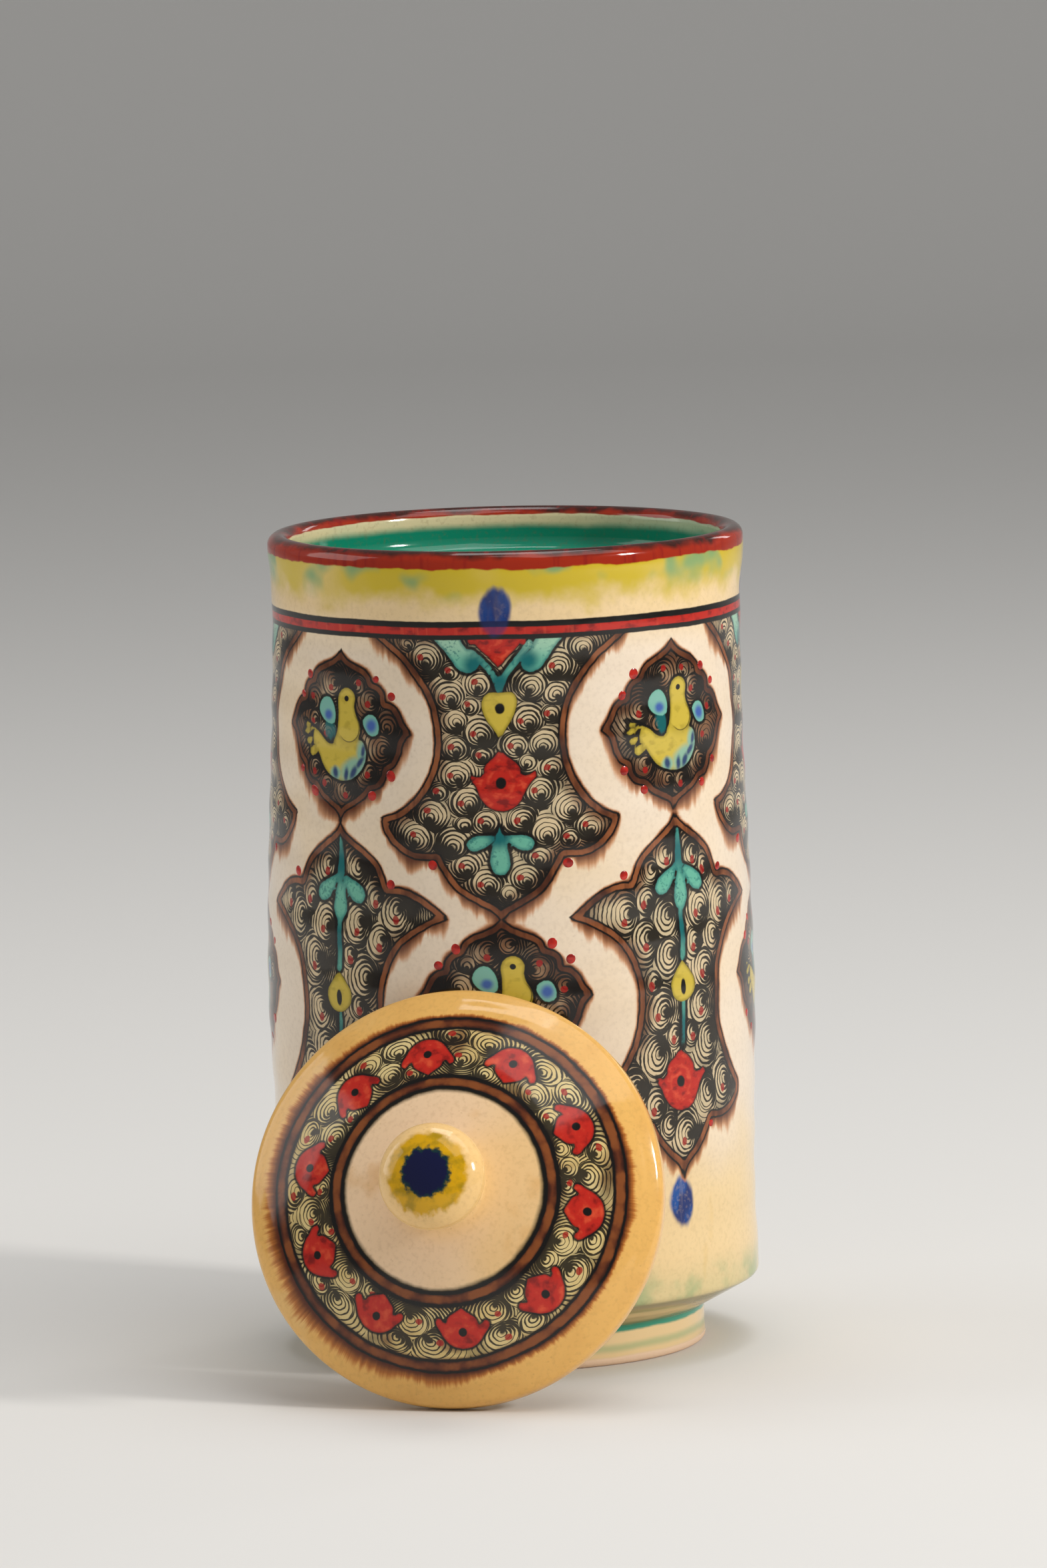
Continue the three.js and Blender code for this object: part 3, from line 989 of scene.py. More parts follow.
def ironSpecks(p, place, colour, pickMost, amount, fine, fineFrom, fineMost):
    # dark specks of iron in the glaze, and a fine grain
    speck = p.ramp(p.cells(place, 760.0), 0.14, 0.24, 1.0, 0.0)
    picked = p.ramp(p.noise(place, 300.0, 1.0), 0.5, pickMost)
    return p.coats(
        colour, (speck * picked * amount, "speck"), (p.ramp(fine, fineFrom, 0.75, 0.0, fineMost), "speck"))


def brushedRed(p, brush, depth, lightFrom, edge, edgeDark):
    # red paint with lighter and darker strokes, and darker along its edge
    return p.coats(
        "red", (p.ramp(brush, lightFrom, 0.72), "redLight"), (p.ramp(brush, 0.48, 0.3), "redDark"),
        (p.ramp(depth, 0.0, edge, edgeDark, 0.0), "redDark"))


# colours as they are seen on screen, 0 to 255
jarColours = {
    "cream": (236, 219, 197), "creamWarm": (236, 206, 154), "creamLow": (234, 204, 148),
    "ochre": (222, 180, 96), "speck": (112, 78, 40), "halo": (88, 38, 12),
    "haloFaint": (194, 124, 66), "ground": (214, 192, 154), "groundPale": (200, 182, 146),
    "groundBrown": (112, 68, 38), "ink": (12, 9, 6), "inkGreen": (30, 30, 20),
    "band": (144, 84, 48), "bandDark": (68, 32, 16),
    "red": (186, 34, 20), "redDark": (128, 14, 10), "redLight": (214, 74, 46), "dot": (150, 18, 14),
    "teal": (104, 178, 154), "tealPale": (156, 200, 172), "tealDark": (16, 102, 104),
    "yellow": (202, 178, 66), "yellowDark": (146, 128, 34), "blue": (58, 84, 168),
    "aqua": (122, 178, 164), "navy": (24, 40, 100), "dab": (4, 74, 150),
    "lipRed": (158, 38, 10), "lipDark": (56, 20, 12),
    "wash": (204, 178, 34), "washGreen": (112, 160, 112), "insideTeal": (20, 130, 102),
    "insideCream": (216, 202, 158), "insidePale": (172, 198, 166), "clay": (236, 204, 174),
    # olive is painted shade on the jar's undercut, which faces down
    "footTeal": (54, 148, 120), "footGreen": (150, 176, 126), "olive": (156, 144, 98),
}


# heights and radii on the jar where the paint changes, in mm
jarBands = {
    "panelTop": 183.2, "collar": (182.6, 187.05), "stripe": (183.8, 185.6), "collarFoot": 182.4,
    # height and half height of the blue dabs in both kinds of column, their half width and place
    "dabs": ((189.4, 6.2), (41.0, 6.4)), "dabWide": 4.1, "dabAside": 0.8,
    "wash": 188.6, "lip": 199.9, "lipRadius": 53.6, "lipInside": 202.1, "pool": (200.6, 198.2),
    "ledge": (192.4, 190.6), "undercut": 17.0, "undercutRadius": 60, "footTop": (12.6, 14.2),
    # where the undercut's painted shade ends, just above the foot
    "undercutShadeEnd": (9.3, 8.2), "footTeal": (8.3, 9.9), "footGreen": (3.6, 5.3), "bareEdge": 1.9, "clay": 2.2,
    "recess": 44.2,
}
# the bird's own strokes in its medallion: centre, half widths and turn of ovals, in mm
birdStrokes = {
    "spots": [((-4.2, 3.9), (2.0, 1.7)), ((10.3, 1.6), (2.1, 2.2))],
    "belly": [((4.2, -9.0), (4.6, 2.6), 0.4), ((7.2, -5.6), (1.9, 3.6)), ((-1.8, -10.2), (1.9, 1.6))],
    "quills": [((-1.9, -10.0), (0.7, 1.2), 0.2), ((1.9, -10.4), (0.6, 1.4), -0.1),
               ((4.3, -9.8), (0.7, 1.5), -0.5), ((6.3, -7.4), (0.6, 1.5), -0.7),
               ((7.3, -4.6), (0.5, 1.3), -0.2)],
    "breast": ((2.9, 1.2), (3.6, 3.6)), "underDrop": ((-3.8, 0.4), (2.3, 2.8)),
}


def ovals(p, x, z, strokes):
    # the nearest of several ovals
    reach = p.oval(x, z, *strokes[0])
    for stroke in strokes[1:]:
        reach = p.least(reach, p.oval(x, z, *stroke))
    return reach


def jarFinish(colours, b):
    p = Paint("jarGlaze", colours)
    place = p.place()
    arc, height, radius = p.split(p.attribute("sheet", "Vector"))
    fine = p.noise(place, 900.0, 3.0)
    soft = p.noise(place, 110.0, 3.0)
    broad = p.noise(place, 26.0)
    shake = p.waver(0.5, place, 480.0)   # mm, makes every brush edge uneven
    slow = p.noise(place, 38.0, 1.0) - 0.5

    # cream glaze: warmer under the lip and low down
    colour = p.coats(
        "cream", (p.ramp(broad, 0.4, 0.75, 0.0, 0.4), "creamWarm"),
        (p.ramp(height, 176, 190, 0.0, 0.9), "creamWarm"))
    low = p.ramp(height + (broad - 0.5) * 40, 62, 34, 0.0, 0.9)
    stain = p.noise(p.stretched(place, 0.45), 95.0, 3.0)
    colour = p.coats(
        colour, (low, "creamLow"), (p.ramp(height, 62, 34) * p.ramp(stain, 0.58, 0.75, 0.0, 0.4), "ochre"),
        (p.ramp(height, 28, 18) * p.ramp(soft, 0.42, 0.66, 0.2, 0.65), "washGreen"))
    colour = ironSpecks(p, place, colour, 0.7, 0.1, fine, 0.42, 0.1)

    # yellow and green washes hang from the lip
    washEnd = b["wash"] + (soft - 0.5) * 12.0
    washAmount = p.ramp(height, washEnd, washEnd + 7.5) * p.ramp(broad, 0.32, 0.54, 0.55, 1.0)
    colour = p.mix(washAmount, colour, "wash")
    blotch = p.noise(p.vector("ADD", place, (0.3, 0.1, 0.2)), 62.0, 2.0)
    greenAmount = p.ramp(height, 190.5, 197.0) * p.ramp(blotch, 0.49, 0.62, 0.0, 0.85)
    colour = p.mix(greenAmount, colour, "washGreen")

    # blue dabs of the brush over every hanging panel and under every standing one
    brush = p.noise(p.stretched(place, 1.6), 330.0, 3.0)
    dabWet = p.noise(p.stretched(place, 0.4), 260.0, 2.0)
    dabStreak = p.noise(p.stretched(place, 0.12), 620.0, 2.0)
    dabCover = 0.0
    for number, middle in enumerate(columnPlaces):
        dabHeight, dabHalf = b["dabs"][number % 2]
        offset = arc - (middle - b["dabAside"])
        offset = p.math("MODULO", offset + 2.5 * sheetTurn, sheetTurn) - sheetTurn / 2
        dab = p.oval(offset, height, (0, dabHeight), (b["dabWide"], dabHalf))
        dab = dab + (dabWet - 0.5) * 0.6
        dabColour = p.coats(
            "dab", (p.ramp(dabWet, 0.4, 0.6, 0.0, 0.9), "navy"),
            (p.ramp(fine, 0.5, 0.7, 0.0, 0.14), "creamWarm"))
        cover = p.ramp(dab, 1.1, 0.78) * p.ramp(dabStreak, 0.3, 0.55, 0.9, 1.0)
        dabCover = p.most(dabCover, cover)
        colour = p.mix(cover, colour, dabColour)

    # brown that bled out of the outlines, mostly downwards
    depth = p.attribute("edge") + shake
    fall = p.most(p.attribute("fall"), 0.01)
    run = (1.0 / fall - 1.0) * glazeRun["half"]
    wide = p.noise(p.stretched(place, 0.06), 150.0, 2.0)
    streaks = p.noise(p.stretched(place, 0.05), 560.0, 2.0)
    medal = p.attribute("inMedal")   # 1 in the medallions
    runLength = p.ramp(wide, 0.34, 0.68, 2.0, 6.4) + p.ramp(streaks, 0.3, 0.7, -1.2, 2.4)
    running = p.ramp(run / runLength, 0.0, 1.0, 1.0, 0.0, soft=False)
    bleedWide = p.ramp(wide, 0.35, 0.7, 0.8, 2.0) + medal * 0.6
    bleeding = p.ramp(depth * -1, 0.0, bleedWide, 0.95, 0.0, soft=False) * p.ramp(fall, 0.16, 0.5)
    inPanels = p.below(height, b["panelTop"], 0.3)
    halo = p.least(p.most(bleeding, running), 1.0) * inPanels
    colour = p.coats(
        colour, (p.ramp(halo, 0.0, 0.6, 0.0, 0.8), "haloFaint"), (p.ramp(halo, 0.34, 1.0), "halo"))

    # ground inside the panels, with its loops
    ink, dot, loopEdge = swirlInk(p, place, swirlBrush)
    brownIn = p.ramp(depth, 2.4, 3.2 + broad * 4.0, 0.9, 0.0) * p.ramp(broad, 0.4, 0.6, 0.15, 1.0)
    brownIn = p.most(brownIn, medal * p.ramp(soft, 0.35, 0.6, 0.3, 0.9))
    ground = p.coats(
        "ground", (p.ramp(soft, 0.4, 0.7), "groundPale"), (brownIn, "groundBrown"),
        (medal * p.ramp(depth, 6.0, 2.6, 0.0, 0.75), "bandDark"), (loopEdge * 0.85, "inkGreen"),
        (ink * 0.97, "ink"), (dot * 0.9, "dot"))
    inside = p.above(depth, 0.0, 0.1) * inPanels
    colour = p.mix(inside, colour, ground)

    # motifs
    red = p.attribute("red") + shake
    teal = p.attribute("teal") + shake
    yellow = p.attribute("yellow") + shake * 0.6
    blue = p.attribute("blue") + shake * 0.6
    margin = p.most(p.most(red + 0.5, teal + 0.95), p.most(yellow, blue) + (0.35 + medal * 0.6))
    rim = p.above(margin, 0.15, 0.3) * inside * p.ramp(margin, 0.0, 0.4, 0.7, 0.97)
    colour = p.mix(rim, colour, "ink")
    redPaint = brushedRed(p, brush, red, 0.52, 0.7, 0.7)
    eyeX, eyeZ, _ = p.split(p.attribute("eye", "Vector"))
    eyeReach = p.far(eyeX, eyeZ) + shake * 0.7
    eyeRing = p.between(eyeReach, 2.2, 2.7, 0.25) * p.ramp(brush, 0.4, 0.6, 0.1, 0.6)
    redPaint = p.mix(eyeRing, redPaint, "redLight")
    grains = p.ramp(p.noise(place, 1500.0, 1.0), 0.5, 0.62)
    pooled = p.most(p.ramp(p.attribute("pool"), 0.0, 0.8), grains * p.ramp(brush, 0.42, 0.62, 0.0, 0.6))
    tealPaint = p.coats(
        "teal", (p.ramp(height, 176.5, 182.0), "tealPale"), (p.ramp(teal, 0.1, 1.0, 0.6, 0.0), "tealDark"),
        (pooled, "tealDark"))
    yellowPaint = p.coats(
        "yellow", (p.ramp(yellow, 0.0, 1.0, 0.8, 0.0), "yellowDark"),
        (p.ramp(brush, 0.5, 0.7, 0.0, 0.4), "yellowDark"))
    bluePaint = p.mix(p.ramp(blue, 0.0, 0.8, 0.6, 0.0), "aqua", "teal")

    # the bird's own strokes
    birdX, birdZ, _ = p.split(p.attribute("bird", "Vector"))
    birdX = birdX + shake
    spot = ovals(p, birdX, birdZ, birdStrokes["spots"])
    bluePaint = p.mix(p.ramp(spot, 1.1, 0.3, 0.0, 0.9), bluePaint, "blue")
    belly = ovals(p, birdX, birdZ, birdStrokes["belly"])
    yellowPaint = p.mix(p.ramp(belly, 1.45, 0.6, 0.0, 0.85), yellowPaint, "aqua")
    quills = ovals(p, birdX, birdZ, birdStrokes["quills"])
    yellowPaint = p.mix(p.ramp(quills, 1.9, 0.5, 0.0, 0.9), yellowPaint, "navy")
    breast = p.oval(birdX, birdZ, *birdStrokes["breast"])
    breastLine = p.between(breast, 0.96, 1.03, 0.04) * p.ramp(birdX - birdZ, 0.2, 3.4, 0.0, 0.8)
    underBreast = p.above(breast, 1.0, 0.03) * p.below(birdZ, -0.2, 0.5)
    breastShade = p.ramp(breast, 1.0, 1.7, 0.35, 0.0) * underBreast
    yellowPaint = p.coats(yellowPaint, (breastShade, "yellowDark"), (breastLine, "ink"))
    underDrop = p.oval(birdX, birdZ, *birdStrokes["underDrop"]) + (dabStreak - 0.5) * 1.5
    colour = p.mix(p.ramp(underDrop, 1.1, 0.6, 0.0, 0.85) * medal * inside, colour, "tealDark")
    paints = ((teal, tealPaint), (yellow, yellowPaint), (blue, bluePaint), (red, redPaint))
    for paintDepth, paint in paints:
        colour = p.mix(p.above(paintDepth, 0.05, 0.16) * inside, colour, paint)
    onShape = p.above(p.most(red, yellow), 0.2, 0.2)
    colour = p.mix(p.below(eyeReach, 1.0, 0.16) * onShape, colour, "ink")

    # outline: black, brown, black
    brownBand = p.coats(
        "band", (p.ramp(soft, 0.4, 0.7), "bandDark"), (p.ramp(streaks, 0.45, 0.7, 0.0, 0.6), "bandDark"),
        (medal * 0.5, "bandDark"))
    bandStart = 0.36 + slow * 0.15
    bandEnd = 1.6 + slow * 0.5 + medal * -0.1
    colour = p.coats(
        colour, (p.between(depth, -0.1, bandEnd + 0.5, 0.18) * inPanels, "ink"),
        (p.between(depth, bandStart, bandEnd, 0.15) * inPanels, brownBand))

    # collar: a red stripe between two black lines
    level = height + slow * 0.75 + shake * 0.35
    colour = p.mix(p.between(level, *b["collar"], 0.16), colour, "ink")
    stripe = p.coats(
        "red", (p.ramp(brush, 0.45, 0.7), "redDark"), (p.ramp(streaks, 0.55, 0.75, 0.0, 0.5), "redLight"))
    colour = p.coats(
        colour, (p.between(level, *b["stripe"], 0.14), stripe),
        (dabCover * 0.6 * p.above(height, b["collarFoot"], 0.3), "navy"))

    # lip: red over dark, uneven at its lower edge
    lipEdge = b["lip"] + (soft - 0.5) * 2.6
    onLip = p.above(height, lipEdge, 0.25) * p.above(radius, b["lipRadius"], 0.3)
    lipPaint = p.coats(
        "lipRed", (p.ramp(height + (soft - 0.5) * 5, 202.0, 203.8), "lipDark"),
        (p.ramp(streaks, 0.5, 0.72, 0.0, 0.6), "redDark"))
    colour = p.mix(onLip, colour, lipPaint)

    # inside: cream collar, teal pooled at the ledge, pale green below
    wallInside = p.ramp(height, 187.0, 191.0, 55.8, 53.9)
    floorInside = p.ramp(radius, 45.0, 54.0, 11.0, 16.5, soft=False)
    isInside = p.below(radius, wallInside, 0.25) * p.above(height, floorInside, 0.3)
    innerRed = p.above(height, b["lipInside"] + (soft - 0.5) * 1.2, 0.2)
    toRight = p.ramp(p.math("SINE", arc / sheetRadius), 0.1, 0.95, 0.0, 0.75)
    innerColour = p.mix(p.most(toRight, p.ramp(broad, 0.55, 0.8, 0.0, 0.4)), "insideCream", "insidePale")
    pool = p.ramp(height + (soft - 0.5) * 1.4, *b["pool"])
    innerColour = p.coats(
        innerColour, (pool, "insideTeal"), (p.ramp(height, *b["ledge"], 0.0, 0.8), "washGreen"),
        (p.ramp(fine, 0.5, 0.75, 0.0, 0.2), "speck"), (innerRed, lipPaint))
    colour = p.mix(isInside, colour, innerColour)

    # undercut and foot: the undercut is painted olive as painted shade, where it faces down; the foot has its
    # own cream, teal and green bands and bare clay
    underneath = p.below(height, b["undercut"], 0.5) * (1.0 - isInside)
    footHeight = height + (soft - 0.5)
    # painted shade: olive over the undercut, which faces down, with a paler band across it; then cream, teal
    # and green bands on the foot and bare clay at its bottom
    footPaintAndShade = p.coats(
        "olive", (p.ramp(footHeight, *b["undercutShadeEnd"]), "creamWarm"),
        (p.between(footHeight, *b["footTop"], 0.5) * 0.6, "creamWarm"),
        (p.between(footHeight, *b["footTeal"], 0.4), "footTeal"),
        (p.between(footHeight, *b["footGreen"], 0.8) * 0.6, "footGreen"),
        (p.below(footHeight, b["clay"], 0.4), "clay"))
    bare = p.below(footHeight, b["bareEdge"], 0.35) * underneath
    colour = p.mix(underneath * p.below(radius, b["undercutRadius"], 0.1), colour, footPaintAndShade)
    recess = underneath * p.below(radius, b["recess"], 0.3)
    colour = p.mix(recess, colour, "clay")
    bare = p.most(bare, recess)

    roughness = p.ramp(soft, 0.3, 0.7, 0.07, 0.13) + bare * 0.62
    relief = p.noise(place, 160.0) * 0.5 + fine * bare * 0.8
    return p.glaze(colour, roughness, relief, 0.25)


jarGlaze = jarFinish(jarColours, jarBands)
print("jar glaze is mixed")

formTree = thrownFormTree()
jarBody = throwForm("jarBody", jarLine(jarForm), jarThrowing, jarGlaze, formTree)
print("jar is thrown:", len(jarBody.data.polygons), "faces")
dotPlaces = paintJar(jarBody)
print("jar is painted")
jarBody.data.transform(Matrix.Translation((jarX, jarY, 0)))
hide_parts("jar")
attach(jarBody, "jar")

# Lid: its outline, in its own frame with the knob towards +z

lidForm = {
    "radius": 51.0, "edge": 5.0, "edgeRound": 3.0, "seatRound": 1.5, "seatWidth": 8.0,
    "hollowTop": 13.9, "hollowFullness": 0.62,
    "dome": [(48.4, 6.9), (43.4, 10), (29.2, 16.1), (15, 20.4)],
    "neck": 10.0, "neckHeight": 22.0, "neckRound": 1.6,
    "knob": 13.0, "knobMiddle": 33.0, "knobHalf": 7.0,
    "knobAside": (0.3, 0.95), "knobFoot": (19.6, 22.6),
    "paintGap": 0.72, "plainGap": 2.0, "roundSteps": 6, "knobSteps": 22,
    "lean": 18.2, "side": 12.5,
    "standOff": 0.55,           # forward of the frame's lid, to clear the wobble of the jar's wall
}
lidThrowing = {"Around": 320, "Ring Depth": 0.03 * mm, "Ring Pitch": 2.6 * mm, "Wobble": 0.16 * mm,
               "Wobble Size": 38.0 * mm, "Lean": 0.0, "Height": 40.0 * mm, "Seed": 9.0}


def lidLine(f):
    hollowR = f["radius"] - f["seatWidth"]
    t = np.linspace(0, 1, 14)[:-1, None]
    start, end = np.array((0, f["hollowTop"])), np.array((hollowR, 0))
    pull = np.array((hollowR * f["hollowFullness"], f["hollowTop"]))
    hollow = start * (1 - t) ** 2 + 2 * pull * t * (1 - t) + end * t ** 2
    edge = filletedLine([(*hollow[-1], 0), (hollowR, 0, 0.5), (f["radius"], 0, f["seatRound"]),
                         (f["radius"], f["edge"], f["edgeRound"]), (*f["dome"][0], 0)], f["roundSteps"])
    dome = softLine(f["dome"], 24)
    neck = filletedLine([(*dome[-1], 0), (f["neck"], f["neckHeight"], f["neckRound"]),
                         (f["neck"], f["knobMiddle"], 0)], f["roundSteps"])[:-1]
    angles = np.linspace(-math.acos(f["neck"] / f["knob"]), math.pi / 2, f["knobSteps"])
    knob = np.stack([f["knob"] * np.cos(angles), f["knobMiddle"] + f["knobHalf"] * np.sin(angles)], 1)
    knob[-1, 0] = 0
    return np.vstack([spaced(np.vstack([hollow, edge[1:]]), f["plainGap"]), spaced(dome, f["paintGap"])[1:],
                      spaced(neck, f["plainGap"])[1:], knob])


def setKnobAside(piece, f):
    # the knob was put on by hand, a little off the middle
    height = readPoints(piece.data, "outlineHeight") / mm
    low, high = f["knobFoot"]
    share = np.clip((height - low) / (high - low), 0, 1)
    share = share * share * (3 - 2 * share)
    for vertex, amount in zip(piece.data.vertices, share):
        vertex.co.x += amount * f["knobAside"][0] * mm
        vertex.co.y += amount * f["knobAside"][1] * mm


# Lid: its ring of ornament, laid out flat. x runs clockwise from the top, z is the distance from the middle.

lidSheetRadius = 34.0
lidTurn = 2 * math.pi * lidSheetRadius
lidTulips = [(25, 34.7, 0.05), (62, 35.0, -0.05), (97, 34.8, 0.12), (134, 35.0, 0.0), (171, 34.3, -0.12),
             (208, 34.3, 0.08), (243.5, 35.2, -0.05), (279, 34.8, 0.0), (315, 34.0, 0.06), (349, 34.1, -0.08)]
lidTulipShape = softShape(
    [(0, 3.9), (2.2, 3.4), (4.0, 2.1), (5.4, 0.4), (6.6, -0.9), (6.9, -2.0)],
    [(6.9, -2.0), (5.9, -2.5), (4.9, -1.7), (4.0, -1.5)],
    [(4.0, -1.5), (3.7, -2.9), (2.4, -4.0), (0, -5.4)],
    [(0, -5.4), (-2.4, -4.0), (-3.7, -2.9), (-4.0, -1.5)],
    [(-4.0, -1.5), (-4.9, -1.7), (-5.9, -2.5), (-6.9, -2.0)],
    [(-6.9, -2.0), (-6.6, -0.9), (-5.4, 0.4), (-4.0, 2.1), (-2.2, 3.4), (0, 3.9)])


# where the lid's ornament is painted and its loops are packed, in mm
lidRules = {"seed": 41, "tilt": 0.06, "drift": 0.12, "half": 12, "paintHeight": 7, "paintReach": (22, 47),
            "faceReach": (26, 42), "loopReach": (28, 41), "loopRing": (28.4, 40.3), "loopGap": 0.5,
            "edgeInset": 0.6}


def paintLid(piece, f):
    mesh = piece.data
    count = len(mesh.vertices)
    places = np.zeros(count * 3)
    mesh.vertices.foreach_get("co", places)
    # seen from the knob's side, the outline's front (-y) is the lowest place of the leaning lid
    clockwise = (0.5 - readPoints(mesh, "turn")) * lidTurn
    reach = readPoints(mesh, "outlineRadius") / mm
    low, high = f["paintReach"]
    onTop = readPoints(mesh, "outlineHeight") / mm > f["paintHeight"]
    painted = np.flatnonzero(onTop & (reach > low) & (reach < high))
    red = np.full(count, -farAway)
    dice = np.random.default_rng(f["seed"])
    middles = np.array([(degrees / 360 * lidTurn, radius) for degrees, radius, tilt in lidTulips])
    shapes = []
    for middle, (degrees, radius, tilt) in zip(middles, lidTulips):
        shapes.append(turned(lidTulipShape, tilt + dice.uniform(-f["tilt"], f["tilt"])))
        x = shortWay(clockwise[painted] - middle[0], lidTurn)
        near = np.abs(x) < f["half"]
        sheet = handDrift(np.stack([x[near], reach[painted[near]] - radius], 1), dice, f["drift"])
        red[painted[near]] = np.maximum(red[painted[near]], depthInside(sheet, shapes[-1]))
    writePoints(mesh, "red", red)
    ring = readPoints(mesh, "ring")
    firstOutside = ring[reach > lidForm["radius"] - f["edgeInset"]].min()
    writePoints(mesh, "under", (ring < firstOutside).astype(float))
    # loops in the ground between the tulips
    grid = gridOver((0, lidTurn), f["loopReach"], f["loopGap"])
    low, high = f["loopRing"]
    free = np.minimum(grid[:, 1] - low, high - grid[:, 1]) + 0.4
    for middle, shape in zip(middles, shapes):
        gap = grid - middle
        gap[:, 0] = shortWay(gap[:, 0], lidTurn)
        free = np.minimum(free, 0.5 - depthInside(gap, shape))
    packed = packSwirls(grid, free, swirlHabits["lid"], dice, lidSwirls, lidTurn)
    slots, faces = faceCorners(mesh)
    sheet = np.stack([closedUp(clockwise[faces], lidTurn), reach[faces]], -1)
    low, high = f["faceReach"]
    mine = np.flatnonzero(((sheet[..., 1] > low) & (sheet[..., 1] < high) & onTop[faces]).all(1))
    corners = sheet[mine]
    for number, values in enumerate(swirlCorners(corners, packed, wrap=lidTurn)):
        rows = emptyCorners(mesh)
        rows[slots[mine]] = values
        writeCorners(mesh, f"swirl{number + 1}", rows)
    # the eye of the nearest tulip
    gap = corners.mean(1)[:, None, :] - middles
    nearest = np.argmin(np.hypot(shortWay(gap[..., 0], lidTurn), gap[..., 1]), axis=1)
    seen = corners - middles[nearest][:, None, :]
    seen[..., 0] = shortWay(seen[..., 0], lidTurn)
    rows = emptyCorners(mesh)
    rows[slots[mine], :2] = seen
    writeCorners(mesh, "eye", rows)
    # the lid's own frame: x to the right and y up as it is seen, z out of the knob, in mm
    own = mesh.attributes.new("lidPlace", "FLOAT_VECTOR", "POINT")
    own.data.foreach_set("vector", (places / mm).astype(np.float32))


lidColours = {
    "border": (234, 182, 100), "borderDeep": (212, 156, 78), "borderPale": (230, 194, 132),
    "plain": (240, 208, 170), "plainOchre": (234, 196, 140), "speck": (150, 104, 52),
    "halo": (84, 32, 4), "haloFaint": (184, 104, 36), "ink": (13, 9, 6),
    "olive": (50, 42, 20), "band": (98, 46, 20), "bandDark": (52, 20, 8),
    "bandPale": (132, 72, 32), "ground": (220, 198, 140), "groundGreen": (215, 188, 124),
    "groundBrown": (106, 58, 22), "red": (190, 36, 22), "redDark": (132, 14, 8),
    "redLight": (216, 78, 46), "dot": (160, 22, 16), "knob": (242, 200, 130),
    "yellow": (214, 162, 0), "yellowDeep": (172, 136, 4), "navy": (4, 10, 56),
    "navyGreen": (10, 50, 46), "under": (206, 176, 128), "clay": (214, 180, 148),
}


lidBrush = {**swirlBrush, "spacing": 0.94, "halfLine": 0.19, "dotRadius": 1.0, "blobWide": 0.26,
            "blobLong": 0.42}
# reaches from the lid's middle where its paint changes, in mm
lidBands = {
    "border": 36, "halo": 43.3, "ornament": (28.0, 40.6), "seat": (44.2, 49.4),
    "innerShade": (29.6, 28.2), "outerShade": (39.4, 40.4), "bleed": 24.4,
    # black from and to, brown from and to, for the bands outside and inside the ornament
    "bands": ((40.1, 43.45, 40.8, 42.85), (24.35, 28.5, 25.45, 27.5)),
    # heights of the disc's top, of the knob's foot and of its upper half
    "disc": 9.0, "knobFoot": 21.5, "knobTop": 33.0, "knobPaint": (0.2, 1.1),
}


